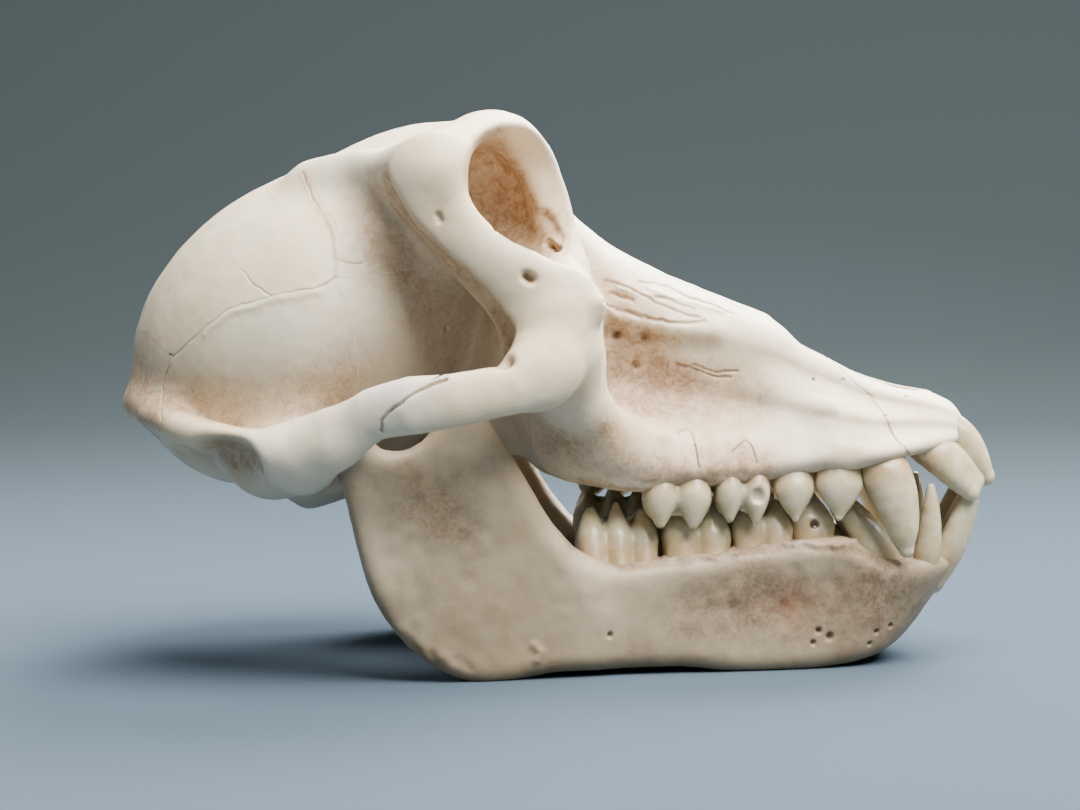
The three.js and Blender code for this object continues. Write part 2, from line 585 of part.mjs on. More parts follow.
// The solid of a closed geometry
function solidOfGeometry(geometry) {
  geometry.deleteAttribute("normal");
  geometry.deleteAttribute("uv");
  const merged = mergeVertices(geometry);
  const vertProperties = new Float32Array(merged.attributes.position.array);
  const triVerts = new Uint32Array(merged.index.array);
  return new wasm.Manifold(new wasm.Mesh({ numProp: 3, vertProperties, triVerts }));
}

// The largest closed piece of a solid
function largest(solid) {
  return solid.decompose().reduce((best, piece) => (piece.volume() > best.volume() ? piece : best));
}

// One lobe of a tooth: rings of points from its root to its tip, closed at both ends
function lobe({ form, root, tip, long, wide, turn }, side) {
  const angle = THREE.MathUtils.degToRad(turn);
  const along = new THREE.Vector3(Math.cos(angle), Math.sin(angle), 0);
  const across = new THREE.Vector3(-Math.sin(angle), Math.cos(angle), 0);
  const start = new THREE.Vector3(...root);
  const end = new THREE.Vector3(...tip);
  const vertices = [];
  for (const [height, lengthShare, widthShare] of form) {
    for (let i = 0; i < RING_SIDES; i += 1) {
      const turned = ((i + 0.5) / RING_SIDES) * 2 * Math.PI;
      const point = start.clone().lerp(end, height);
      point.addScaledVector(along, Math.cos(turned) * long * lengthShare);
      point.addScaledVector(across, Math.sin(turned) * wide * widthShare);
      vertices.push(point);
    }
  }
  const rootEnd = vertices.push(start.clone().lerp(end, form[0][0])) - 1;
  const tipEnd = vertices.push(end.clone()) - 1;
  const lastRing = (form.length - 1) * RING_SIDES;
  const triangles = [];
  for (let i = 0; i < RING_SIDES; i += 1) {
    const next = (i + 1) % RING_SIDES;
    triangles.push([rootEnd, next, i], [tipEnd, lastRing + i, lastRing + next]);
    for (let ring = 0; ring < lastRing; ring += RING_SIDES) {
      triangles.push([ring + i, ring + next, ring + RING_SIDES + i]);
      triangles.push([ring + next, ring + RING_SIDES + next, ring + RING_SIDES + i]);
    }
  }
  for (const vertex of vertices) vertex.y *= side;
  const inwards = (tip[2] - root[2]) * side < 0;
  if (inwards) for (const triangle of triangles) triangle.reverse();
  return solidOf({ vertices, triangles });
}

// A whole tooth on the left (side 1) or right (side -1): its lobes stand in a row along its long side
function tooth(sizes, side) {
  const { root, tip, long, turn, lobes } = sizes;
  const angle = THREE.MathUtils.degToRad(turn);
  const shifted = ([x, y, z], step) => [x + Math.cos(angle) * step, y + Math.sin(angle) * step, z];
  const half = (long / lobes) * (lobes > 1 ? LOBE_OVERLAP : 1);
  const pieces = [];
  for (let i = 0; i < lobes; i += 1) {
    const step = (2 * i + 1 - lobes) * (long - half) * (lobes > 1 ? 1 / (lobes - 1) : 0);
    pieces.push(lobe({ ...sizes, root: shifted(root, step), tip: shifted(tip, step), long: half }, side));
  }
  return pieces.reduce((whole, piece) => whole.add(piece));
}

const withTeeth = (bone, teeth, side) => teeth.reduce((whole, sizes) => whole.add(tooth(sizes, side)), bone);

// An outline moved outwards by a distance, each corner along the bisector of its two sides
function widened(outline, distance) {
  const points = outline.map(([x, z]) => new THREE.Vector2(x, z));
  if (THREE.ShapeUtils.isClockWise(points)) points.reverse();
  return points.map((point, i) => {
    const before = point.clone().sub(points.at(i - 1)).normalize();
    const after = points[(i + 1) % points.length].clone().sub(point).normalize();
    const reach = distance / (1 + before.dot(after));
    return new THREE.Vector2(point.x + (before.y + after.y) * reach, point.y - (before.x + after.x) * reach);
  });
}

// A block with an outline seen from the side, over a stretch of the width, widened all round
function block({ outline, from, to }, extra) {
  const shape = new THREE.Shape(widened(outline, extra));
  const geometry = new THREE.ExtrudeGeometry(shape, { depth: to - from + 2 * extra, bevelEnabled: false });
  geometry.rotateX(Math.PI / 2);
  geometry.translate(0, to + extra, 0);
  return solidOfGeometry(geometry);
}

function blocks(stretches, extra) {
  return stretches.map((stretch) => block(stretch, extra)).reduce((a, b) => a.add(b));
}

// The same stretch of width on the left or on the right
const leftOf = (outline, from) => ({ outline, from, to: BEYOND });
const rightOf = (outline, from) => ({ outline, from: -BEYOND, to: -from });
const across = (outline) => ({ outline, from: -BEYOND, to: BEYOND });

// Outline of the strip of nasal bone along the top of the muzzle
function nasalOutline() {
  const lower = [];
  const upper = [];
  for (let x = NASAL.from; x <= NASAL.to; x += NASAL.step) {
    lower.push([x, muzzleTop(x) - NASAL.depth]);
    upper.unshift([x, muzzleTop(x) + NASAL.above]);
  }
  return [...lower, ...upper];
}

// Bones in the order in which they are parted from the cranium; the sphenoid is what is left
const BONES = [
  ["zygomatic_left", [leftOf(CHEEK_OUTLINE, CHEEK_FROM)]],
  ["zygomatic_right", [rightOf(CHEEK_OUTLINE, CHEEK_FROM)]],
  ["temporal_left", [leftOf(TEMPLE_OUTLINE, TEMPLE_FROM), leftOf(ARCH_REAR_OUTLINE, ARCH_FROM)]],
  ["temporal_right", [rightOf(TEMPLE_OUTLINE, TEMPLE_FROM), rightOf(ARCH_REAR_OUTLINE, ARCH_FROM)]],
  ["occipital", [across(OCCIPUT_OUTLINE)]],
  ["parietal_left", [leftOf(CROWN_OUTLINE, MIDDLE)]],
  ["parietal_right", [rightOf(CROWN_OUTLINE, MIDDLE)]],
  ["nasal", [{ outline: nasalOutline(), from: -NASAL.half, to: NASAL.half }]],
  ["premaxilla", [across(SNOUT_OUTLINE)]],
  ["frontal", [across(BROW_OUTLINE)]],
  ["maxilla_left", [leftOf(MUZZLE_OUTLINE, MIDDLE)]],
  ["maxilla_right", [rightOf(MUZZLE_OUTLINE, MIDDLE)]],
];

const craniumMesh = coarsen(meshField(craniumField, CRANIUM_BOX, CELL.cranium), TRIANGLES.cranium, SHAPING);
const jawMesh = coarsen(meshField(jawField, JAW_BOX, CELL.jaw), TRIANGLES.jaw, SHAPING);

const solids = {};
let rest = largest(solidOf(craniumMesh));
for (const [name, stretches] of BONES) {
  solids[name] = rest.intersect(blocks(stretches, 0));
  rest = rest.subtract(blocks(stretches, SUTURE_GAP));
}
solids.sphenoid = rest;
for (const name of Object.keys(solids)) solids[name] = largest(solids[name]);

const { half, depth } = UNDER_FLOOR;
const floor = block(across([[-half, -depth], [half, -depth], [half, 0], [-half, 0]]), 0);
solids.mandible = largest(solidOf(jawMesh).subtract(floor));
for (const side of [-1, 1]) {
  const maxilla = side > 0 ? "maxilla_left" : "maxilla_right";
  solids[maxilla] = withTeeth(solids[maxilla], UPPER_TEETH, side);
  solids.premaxilla = withTeeth(solids.premaxilla, UPPER_INCISORS, side);
  solids.mandible = withTeeth(solids.mandible, LOWER_TEETH, side);
}
solids.maxilla_left = withTeeth(solids.maxilla_left, [LOST_MOLAR_PAIR], 1);

// The finished geometry of a solid, without the needless edges that cuts leave
function geometryOf(solid) {
  const { vertProperties, triVerts, numVert, numTri } = solid.getMesh();
  const vertexAt = (_, i) => new THREE.Vector3().fromArray(vertProperties, 3 * i);
  const vertices = Array.from({ length: numVert }, vertexAt);
  const triangles = Array.from({ length: numTri }, (_, i) => [...triVerts.subarray(3 * i, 3 * i + 3)]);
  const mesh = solidOf(coarsen({ vertices, triangles }, 0, TRIMMING)).getMesh();
  const geometry = new THREE.BufferGeometry();
  geometry.setAttribute("position", new THREE.BufferAttribute(mesh.vertProperties, 3));
  geometry.setIndex(new THREE.BufferAttribute(mesh.triVerts, 1));
  return geometry;
}

const skull = new THREE.Group();
for (const [name, solid] of Object.entries(solids)) {
  const finish = { color: TINTS[name], roughness: BONE_ROUGHNESS, metalness: 0 };
  const material = new THREE.MeshStandardMaterial(finish);
  const mesh = new THREE.Mesh(geometryOf(largest(solid)), material);
  mesh.name = name;
  skull.add(mesh);
}
const middle = new THREE.Box3().setFromObject(skull).getCenter(new THREE.Vector3());
skull.position.set(-middle.x, -middle.y, 0);

export default skull;
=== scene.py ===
"""Baboon skull: bones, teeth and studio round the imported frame, in metres."""
import logging
import math
from dataclasses import dataclass, field
from enum import Enum
from typing import Callable, ClassVar, Iterable, Sequence

import bmesh
import bpy
import numpy as np
from mathutils import Matrix, Vector
from mathutils.bvhtree import BVHTree


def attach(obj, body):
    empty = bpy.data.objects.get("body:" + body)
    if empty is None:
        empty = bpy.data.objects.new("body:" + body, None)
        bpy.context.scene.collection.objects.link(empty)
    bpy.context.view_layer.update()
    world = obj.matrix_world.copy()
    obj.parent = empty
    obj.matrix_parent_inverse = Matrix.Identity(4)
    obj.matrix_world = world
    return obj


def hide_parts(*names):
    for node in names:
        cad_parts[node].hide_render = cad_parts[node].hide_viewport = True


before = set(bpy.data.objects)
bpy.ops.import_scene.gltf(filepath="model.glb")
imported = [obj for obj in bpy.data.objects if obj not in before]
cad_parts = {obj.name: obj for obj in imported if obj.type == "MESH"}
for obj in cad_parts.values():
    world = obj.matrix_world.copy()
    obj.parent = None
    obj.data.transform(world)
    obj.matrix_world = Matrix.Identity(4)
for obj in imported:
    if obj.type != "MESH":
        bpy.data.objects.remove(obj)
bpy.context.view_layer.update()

LOG = logging.getLogger("skull")
Array = np.ndarray
Shape = Callable[[Array], Array]
Outline = tuple[tuple[float, float], ...]
MM = 0.001

# Frame of the picture that the marks are placed in, and where it is seen from, in mm
PICTURE = (1080, 810)
FOCAL_PIXELS = 3118.6
EYE = np.array([-3.7, -618.5, 92.85])
AIM = np.array([-3.7, 0.0, 49.6])


class Side(Enum):
    """Side of the animal, as the sign of Y."""

    RIGHT = -1
    LEFT = 1


class Tint(Enum):
    """Named stains and painted shade, each an attribute on the bone's vertices."""

    # Tan stains, mixed with painted shade in hollows, openings and faces turned from the light
    TAN = "tan"
    RUST = "rust"
    # Painted shade in pits, holes, cracks and the chips of teeth
    DARK = "dark"
    CHALK = "chalk"


class Crown(Enum):
    """Kinds of tooth crown."""

    MOLAR = "molar"
    PREMOLAR = "premolar"
    CANINE = "canine"
    INCISOR = "incisor"


class Jaw(Enum):
    """Which jaw a tooth grows from."""

    UPPER = "upper"
    LOWER = "lower"


def smooth_step(share: Array) -> Array:
    """Ease from 0 to 1."""
    share = np.clip(share, 0.0, 1.0)
    return share * share * (3.0 - 2.0 * share)


def faded(value: Array, end: Array | float, span: float) -> Array:
    """Ease from 0 at an end value to 1 a span below it."""
    return smooth_step((end - value) / span)


def left_half(p: Array) -> Array:
    """Fold points onto the left side."""
    return np.stack([p[:, 0], np.abs(p[:, 1]), p[:, 2]], axis=1)


def joined(a: Array, b: Array, fillet: float) -> Array:
    """Join two fields with a fillet.

    Args:
        a: The first field's values.
        b: The second field's values.
        fillet: Width of the fillet.

    Returns:
        The values of the joined field.
    """
    share = np.maximum(fillet - np.abs(a - b), 0.0) / fillet
    return np.minimum(a, b) - share * share * fillet / 4.0


def carved(a: Array, b: Array, fillet: float) -> Array:
    """Cut field b out of field a with a fillet."""
    return -joined(-a, b, fillet)


def common(a: Array, b: Array, fillet: float) -> Array:
    """Keep what two fields share, with a fillet."""
    return -joined(-a, -b, fillet)


class Profile:
    """A smooth curve through a few points, level beyond its ends."""

    def __init__(self, points: Sequence[Sequence[float]]) -> None:
        """Work out the slope at each point.

        Args:
            points: Pairs of place and value, in rising order.
        """
        table = np.array(points, float)
        self.place, self.value = table[:, 0], table[:, 1]
        before = np.r_[0, np.arange(len(table) - 1)]
        after = np.r_[np.arange(1, len(table)), len(table) - 1]
        self.slope = (self.value[after] - self.value[before]) / (self.place[after] - self.place[before])

    def __call__(self, u: Array) -> Array:
        """Read the curve.

        Args:
            u: Places along it.

        Returns:
            Its values there.
        """
        i = np.clip(np.searchsorted(self.place, u) - 1, 0, len(self.place) - 2)
        span = self.place[i + 1] - self.place[i]
        t = np.clip((u - self.place[i]) / span, 0.0, 1.0)
        rise = smooth_step(t)
        leave = t * (1 - t) ** 2 * span * self.slope[i]
        arrive = t * t * (t - 1) * span * self.slope[i + 1]
        return self.value[i] * (1 - rise) + self.value[i + 1] * rise + leave + arrive


@dataclass(frozen=True)
class Egg:
    """An ellipsoid, turned nose up by its pitch."""

    at: tuple[float, float, float]
    half: tuple[float, float, float]
    pitch: float = 0.0

    def __call__(self, p: Array) -> Array:
        """Read the field.

        Args:
            p: Points in mm.

        Returns:
            Distance to the surface, about, below zero inside.
        """
        c, s = math.cos(math.radians(self.pitch)), math.sin(math.radians(self.pitch))
        dx, dy, dz = p[:, 0] - self.at[0], p[:, 1] - self.at[1], p[:, 2] - self.at[2]
        u, v, w = (dx * c + dz * s) / self.half[0], dy / self.half[1], (dz * c - dx * s) / self.half[2]
        share = np.sqrt(u * u + v * v + w * w)
        slope = np.sqrt((u / self.half[0]) ** 2 + (v / self.half[1]) ** 2 + (w / self.half[2]) ** 2)
        return share * (share - 1.0) / np.maximum(slope, 1e-9)

    def box(self) -> tuple[Array, Array]:
        """Give two corners that hold the shape."""
        return np.array(self.at) - max(self.half), np.array(self.at) + max(self.half)


@dataclass(frozen=True)
class Rod:
    """A bent rod through points of place and radius, thinner across Y by its flatness."""

    points: tuple[tuple[float, float, float, float], ...]
    flat: float = 1.0

    def __call__(self, p: Array) -> Array:
        """Read the field.

        Args:
            p: Points in mm.

        Returns:
            Distance to the surface, about, below zero inside.
        """
        best = np.full(len(p), np.inf)
        scale = np.array([1.0, self.flat, 1.0])
        for start, end in zip(self.points[:-1], self.points[1:]):
            run = (np.array(end[:3]) - start[:3]) * scale
            off = (p - start[:3]) * scale
            t = np.clip(off @ run / (run @ run), 0.0, 1.0)
            away = np.linalg.norm(off - t[:, None] * run, axis=1)
            best = np.minimum(best, away - start[3] - t * (end[3] - start[3]))
        return best / math.sqrt(self.flat)

    def balls(self, step: float = 1.5) -> Array:
        """List close points along the rod.

        Args:
            step: How far apart they are in mm.

        Returns:
            Their places and radii, a row for each.
        """
        table = np.array(self.points, float)
        along = np.r_[0.0, np.cumsum(np.linalg.norm(np.diff(table[:, :3], axis=0), axis=1))]
        steps = np.arange(0.0, along[-1], step)
        return np.stack([np.interp(steps, along, table[:, i]) for i in range(4)], axis=1)

    def box(self) -> tuple[Array, Array]:
        """Give two corners that hold the shape."""
        table = np.array(self.points, float)
        return (table[:, :3] - table[:, 3:]).min(axis=0), (table[:, :3] + table[:, 3:]).max(axis=0)


class Cusp:
    """A smooth round peg, its place and radius given at heights along the tooth."""

    def __init__(self, points: Sequence[Sequence[float]]) -> None:
        """Run curves through the peg's points.

        Args:
            points: Rows of place and radius, in rising height.
        """
        table = np.array(points, float)
        self.ends = table[0, 2], table[-1, 2]
        self.across, self.outward, self.radius = (Profile(table[:, [2, i]]) for i in (0, 1, 3))

    def __call__(self, p: Array) -> Array:
        """Read the field.

        Args:
            p: Points in the tooth's own units.

        Returns:
            Distance to the surface, about, below zero inside.
        """
        height = np.clip(p[:, 2], *self.ends)
        middle = np.stack([self.across(height), self.outward(height), height], axis=1)
        return np.linalg.norm(p - middle, axis=1) - self.radius(height)


def spline(points: Sequence[Sequence[float]], steps: int) -> Array:
    """Run a smooth line through points in a plane.

    Args:
        points: The points.
        steps: How many steps it is read in.

    Returns:
        The places along it.
    """
    table = np.array(points, float)
    last = len(table) - 1
    t = np.linspace(0.0, last, steps + 1)
    i = np.minimum(t.astype(int), last - 1)
    w = (t - i)[:, None]
    a, b = table[np.maximum(i - 1, 0)], table[i]
    c, d = table[i + 1], table[np.minimum(i + 2, last)]
    leave, arrive = (c - a) / 2, (d - b) / 2
    cube, square = 2 * b - 2 * c + leave + arrive, 3 * c - 3 * b - 2 * leave - arrive
    return cube * w**3 + square * w**2 + leave * w + b


def line_distance(line: Array, u: Array, v: Array) -> Array:
    """Measure from points to a line in a plane.

    Args:
        line: Points of the line.
        u: First coordinates of the points.
        v: Second coordinates of the points.

    Returns:
        The shortest distance of each.
    """
    best = np.full(len(u), np.inf)
    for a, b in zip(line[:-1], line[1:]):
        run = b - a
        square = run @ run or 1.0
        t = np.clip(((u - a[0]) * run[0] + (v - a[1]) * run[1]) / square, 0.0, 1.0)
        best = np.minimum(best, np.hypot(u - a[0] - run[0] * t, v - a[1] - run[1] * t))
    return best


def within(line: Array, u: Array, v: Array) -> Array:
    """Tell which points lie inside a closed line in a plane.

    Args:
        line: Points of the line, the first repeated at its end.
        u: First coordinates of the points.
        v: Second coordinates of the points.

    Returns:
        True for each point inside.
    """
    inside = np.zeros(len(u), bool)
    for a, b in zip(line[:-1], line[1:]):
        if a[1] == b[1]:
            continue
        spans = (a[1] > v) != (b[1] > v)
        inside ^= spans & (u < (b[0] - a[0]) * (v - a[1]) / (b[1] - a[1]) + a[0])
    return inside


class Grain:
    """Smooth seeded noise in space, from -1 to 1."""

    LATTICE = 32

    def __init__(self, seed: int) -> None:
        """Fill the lattice from the seed."""
        self.values = np.random.default_rng(seed).uniform(-1.0, 1.0, (self.LATTICE,) * 3)

    def __call__(self, points: Array, size: float) -> Array:
        """Read the noise.

        Args:
            points: Points in mm.
            size: Size of its lumps in mm.

        Returns:
            The value at each point.
        """
        scaled = points / size
        base = np.floor(scaled).astype(int)
        share = scaled - base
        share = smooth_step(share)
        total = np.zeros(len(points))
        for corner in np.ndindex(2, 2, 2):
            weight = np.prod(np.where(corner, share, 1 - share), axis=1)
            i, j, k = ((base + corner) % self.LATTICE).T
            total += weight * self.values[i, j, k]
        return total


GRAIN = Grain(7)
# Shifts that part one reading of the grain from another, in mm
FAINT_SHIFT, SUTURE_SHIFT, FLECK_SHIFT, STAIN_SHIFT, STRAY_SHIFT = 30.0, 40.0, 60.0, 90.0, 500.0


@dataclass
class JawForm:
    """The lower jaw as a field: a bent wall, its side outline and the jaw heads."""

    outline: tuple = (
        (79, 20), (77, 15.8), (73, 9.6), (68, 4.8), (62, 1.6), (54, 0), (44, -0.5), (34, -0.3), (24, 0.8),
        (8, 0.9), (-2, 0.7), (-10, -0.6), (-17, -0.4), (-24.3, 3), (-30, 8), (-34.1, 13.8), (-36.6, 20),
        (-38.4, 28), (-40.2, 36.5), (-43.5, 42.5), (-42.6, 46.2), (-38.5, 46.8), (-34, 44.6), (-29.5, 44.2),
        (-25, 46.8), (-20.5, 53), (-16.5, 55), (-13.2, 49), (-7.5, 39.7), (-3.7, 33), (0, 27.5), (5, 22.8),
        (12, 21), (23, 22), (38, 24), (50, 25.2), (56, 25), (61, 21.8), (66, 20.4), (74, 20.8),
    )
    plan: tuple = (
        (-46, 41), (-40, 40.5), (-30, 38.5), (-15, 35), (0, 29.5), (12, 24.5), (30, 21.5), (46, 19),
        (58, 16.5), (67, 12.5), (73, 7), (75, 0),
    )
    thickness: tuple = (
        (-45, 3), (-30, 2.6), (-15, 3), (0, 4.4), (10, 5.4), (30, 5.2), (50, 5), (62, 5.4), (74, 6.6),
    )
    chin_reach: tuple = ((30, 0), (70, 1))
    chin_gums: float = 21.0
    chin_slope: float = 0.62
    head: Egg = Egg((-39.5, 37, 44.4), (4.2, 6.2, 3.2))
    edge_fillet: float = 4.0
    head_fillet: float = 3.0
    outline_steps: int = 120
    plan_steps: int = 40

    def __post_init__(self) -> None:
        """Run the curves once."""
        self.outline_line = spline(self.outline + self.outline[:1], self.outline_steps)
        self.plan_line = spline(self.plan, self.plan_steps)
        self.wall = Profile(self.thickness)
        self.reach = Profile(self.chin_reach)

    def __call__(self, p: Array) -> Array:
        """Read the field.

        Args:
            p: Points in mm.

        Returns:
            Distance to the surface, about, below zero inside.
        """
        half = left_half(p)
        x, y, z = half.T
        leaned = x + (self.chin_gums - z) * self.chin_slope * self.reach(x)
        wall = line_distance(self.plan_line, leaned, y) - self.wall(leaned)
        edge = line_distance(self.outline_line, x, z)
        edge = np.where(within(self.outline_line, x, z), -edge, edge)
        return joined(common(wall, edge, self.edge_fillet), self.head(half), self.head_fillet)


@dataclass
class MuzzleForm:
    """The muzzle as a field: wide at the gums, hollow above them, ridged along the top."""

    top: tuple = (
        (-12, 96), (-3, 93), (2, 88.4), (7, 84), (13, 80), (20, 76.4), (28, 73.1), (36, 70), (43.7, 66.8),
        (48, 63.5), (54, 60.3), (60, 56.9), (66, 54.6), (72, 53.1), (77, 50.9), (81, 48.2),
    )
    foot: tuple = (
        (-8, 47), (-4.5, 40), (0, 37), (8, 35.7), (20, 35.4), (30, 35.7), (40, 36.5), (50, 38), (58, 38.8),
        (66, 40.4), (74, 41.6), (82, 43),
    )
    gums: tuple = (
        (-10, 20), (-4, 24), (4, 25.5), (20, 26), (32, 25), (45, 23), (56, 22), (62, 22), (68, 18.8), (74, 14),
        (78, 10.5), (82, 7),
    )
    fossa: tuple = (
        (-5, 12), (8, 10.5), (20, 11), (32, 13.5), (45, 16.5), (56, 17.5), (64, 15.5), (72, 11.5), (82, 6),
    )
    ridge: tuple = (
        (-5, 8), (4, 9.5), (12, 13), (25, 14), (38, 13), (50, 12), (62, 11), (72, 9), (82, 5.5),
    )
    gum_level: float = 0.08
    fossa_level: float = 0.47
    ridge_level: float = 0.76
    ends: tuple = (-9.0, 80.5)
    side_slope: float = 0.8
    top_slope: float = 0.85
    top_fillet: float = 3.0
    end_fillet: float = 4.0

    def __post_init__(self) -> None:
        """Run the curves once."""
        names = ("top", "foot", "gums", "fossa", "ridge")
        self.curves = {name: Profile(getattr(self, name)) for name in names}

    def half_width(self, x: Array, z: Array) -> Array:
        """Measure the muzzle's half width at places along it and heights.

        Args:
            x: Places along it in mm.
            z: Heights in mm.

        Returns:
            The half widths in mm.
        """
        top, foot, gums, fossa, ridge = (curve(x) for curve in self.curves.values())
        level = np.clip((z - foot) / (top - foot), 0.0, 1.0)
        sink = smooth_step((level - self.gum_level) / (self.fossa_level - self.gum_level))
        low = gums + (fossa - gums) * sink
        rise = smooth_step((level - self.fossa_level) / (self.ridge_level - self.fossa_level))
        over = (level - self.ridge_level) / (1 - self.ridge_level)
        high = ridge * np.sqrt(np.maximum(1 - over * over, 0.0))
        middle = fossa + (ridge - fossa) * rise
        return np.where(level < self.fossa_level, low, np.where(level < self.ridge_level, middle, high))

    def __call__(self, p: Array) -> Array:
        """Read the field.

        Args:
            p: Points in mm, on the left half.

        Returns:
            Distance to the surface, about, below zero inside.
        """
        x, y, z = p.T
        side = (y - self.half_width(x, z)) * self.side_slope
        upright = np.maximum(z - self.curves["top"](x), self.curves["foot"](x) - z) * self.top_slope
        ends = np.maximum(x - self.ends[1], self.ends[0] - x)
        return common(common(side, upright, self.top_fillet), ends, self.end_fillet)

    def box(self) -> tuple[Array, Array]:
        """Give two corners that hold the shape.

        Returns:
            Its lowest and highest corners in mm.
        """
        highest = max(value for _, value in self.top)
        lowest = min(value for _, value in self.foot)
        widest = max(value for _, value in self.gums)
        return np.array([self.ends[0], -widest, lowest]), np.array([self.ends[1], widest, highest])


@dataclass
class CraniumForm:
    """The cranium as a field: rounded bodies joined with fillets, then its openings."""

    jaw: JawForm
    muzzle: MuzzleForm = field(default_factory=MuzzleForm)
    braincase: Egg = Egg((-46.5, 0, 65.5), (40, 36, 30), 29)
    temple_pinch: tuple = ((-60, 1), (-45, 1), (-30, 0.88), (-18, 0.8), (0, 0.8))
    pinch_slope: float = 0.95
    felt: float = 15.0
    joint_gap: float = 0.9
    forehead: Egg = Egg((-24, 0, 85), (22, 23, 20.5), 8)
    skull_base: Rod = Rod(((-8, 0, 58, 10), (-34, 0, 45, 9), (-50, 0, 38, 8.5)))
    eye_funnel: Rod = Rod(((-12.5, 21.5, 89.5, 15.2), (-28.5, 14.5, 85.5, 9.5)))
    eye_septum: Rod = Rod(((-25, 33, 92, 4.5), (-22, 34, 86, 4.5), (-16, 34, 79, 5), (-10, 33, 73, 5)))
    temple_ridge: Rod = Rod((
        (-23, 34, 96, 3.8), (-30, 28.5, 97, 2.8), (-38, 20.5, 97, 1.8), (-48, 13, 94.5, 1),
    ))
    brow: Rod = Rod((
        (-11, 0, 100.2, 4.4), (-10.5, 9, 101, 4.4), (-13, 19, 100.8, 4.4), (-17.5, 28, 98.8, 4.3),
        (-22.5, 34.5, 95.5, 4.6),
    ))
    orbit_floor: Egg = Egg((-2, 23, 71), (9, 18, 8.5))
    wing_plate: Rod = Rod(((-3, 17.5, 46, 6), (-14, 15.5, 48, 6), (-24, 13, 53, 6)), 3.2)
    cheek_root: Rod = Rod(((-4, 14, 60, 12), (-1, 27, 63, 9.2), (-1, 36, 65, 7.2)))
    cheek_buttress: Rod = Rod((
        (-1.5, 35, 61, 6.8), (2.4, 28.5, 52.5, 6.4), (6.8, 24.5, 46.8, 6), (14.5, 21, 42.4, 5),
    ))
    cheek_body: Rod = Rod(((-2, 38, 69, 6.5), (-1.4, 38, 62, 6.9), (-5, 44, 57.5, 4.8)), 1.35)
    cheek_strap: Rod = Rod((
        (-24.3, 37, 94.5, 5), (-22, 38.8, 88.6, 4.7), (-18.2, 40.2, 85, 4.2), (-13.7, 41, 81.3, 4),
        (-7.6, 41, 77, 4.9), (-1.2, 38.5, 70.5, 6.6),
    ), 2.7)
    inner_rim: Rod = Rod((
        (-9, 15, 101.5, 3), (-5.2, 13, 97, 3.3), (-2.4, 12.5, 90, 3.5), (0.2, 13.5, 83, 3.6),
        (1.6, 17, 77.5, 3.8),
    ))
    arch: Rod = Rod((
        (-3, 45, 58.5, 5), (-10, 48.5, 55.6, 4.6), (-20, 50, 53.8, 5), (-27, 49.8, 53, 5.3),
        (-34, 48, 51.4, 4.8), (-40, 45.5, 47.5, 4.8), (-46, 42, 44.6, 4.4),
    ), 2.1)
    ear: Rod = Rod(((-54, 24, 43, 10), (-48, 37, 41, 5.5)))
    crest: Rod = Rod((
        (-43, 44, 45.5, 3.2), (-49, 42.5, 43.4, 3.2), (-56, 41, 43.8, 3.2), (-65, 37, 46, 3),
        (-72, 32, 47.6, 2.8), (-78.5, 22, 49.3, 2.4), (-82.5, 10, 50.3, 2), (-83.4, 0, 50, 1.8),
    ))
    condyle: Egg = Egg((-47, 9.5, 36.6), (6.5, 4.8, 4.6), -20)
    throat: Rod = Rod(((-16, 0, 44, 9), (-2, 0, 47, 6.5), (8, 0, 48, 5)))
    eye_hole: Rod = Rod(((-24.5, 14.5, 85.5, 4.5), (-9.5, 21.5, 90, 12.2), (-3.8, 34.5, 91.5, 14.7)))
    nose_hole: Rod = Rod((
        (24, 0, 58, 4.5), (40, 0, 59.5, 6.5), (48, 0, 60.5, 7), (58, 0, 57, 6.6), (67, 0, 53.5, 4.5),
    ))
    palate: Egg = Egg((28, 0, 34.5), (43, 14.5, 10))
    brain: Egg = Egg((-49, 0, 64.5), (29.5, 29, 24), 28)
    neck_hole: Rod = Rod(((-55, 0, 50, 7), (-60.5, 0, 28, 8.5)))
    temple_hollow: Rod = Rod((
        (-43, 30, 92.5, 4.5), (-36, 35, 91.3, 6), (-31, 37.5, 83.5, 6), (-21, 39, 73.8, 6),
        (-13, 39, 64.8, 5.5),
    ))
    mastoid_hollow: Egg = Egg((-63, 41.5, 42.4), (8, 5.5, 4), -6)
    eye_pocket: Egg = Egg((-14, 15.5, 90.5), (9, 8.5, 10.5))
    socket_edge: tuple = ((76, 2), (83.5, 0), (90, -2.6), (96, -5), (102, -8.5))
    jaw_room: tuple[float, float, float] = (0.0, 20.0, 58.0)
    # Fades of the painted shade that lines the eye sockets, the nose and the temple hollows
    eye_lining: tuple[float, float] = (2.0, 1.2)
    eye_width: tuple[float, float] = (43.0, 14.0)
    socket_fade: float = 3.5
    nose_lining: tuple[float, float] = (1.6, 1.2)
    temple_lining: tuple[float, float] = (0.9, 0.8)
    temple_shade_share: float = 0.7

    def __post_init__(self) -> None:
        """List the bodies and openings with their fillets."""
        self.pinch = Profile(self.temple_pinch)
        self.socket = Profile(self.socket_edge)
        self.bodies = (
            (self.forehead, 10), (self.skull_base, 8), (self.eye_funnel, 6), (self.eye_septum, 6),
            (self.temple_ridge, 10), (self.brow, 11), (self.muzzle, 7), (self.orbit_floor, 6),
            (self.wing_plate, 4), (self.cheek_root, 7), (self.cheek_buttress, 7), (self.cheek_body, 6),
            (self.cheek_strap, 4), (self.arch, 5), (self.ear, 8), (self.crest, 7), (self.condyle, 3),
        )
        self.rims = ((self.cheek_strap, 3), (self.inner_rim, 4))
        self.openings = (
            (self.throat, 3), (self.eye_hole, 3), (self.nose_hole, 2), (self.palate, 4), (self.brain, 2),
            (self.neck_hole, 2), (self.temple_hollow, 1.5), (self.mastoid_hollow, 2.5), (self.eye_pocket, 2),
        )

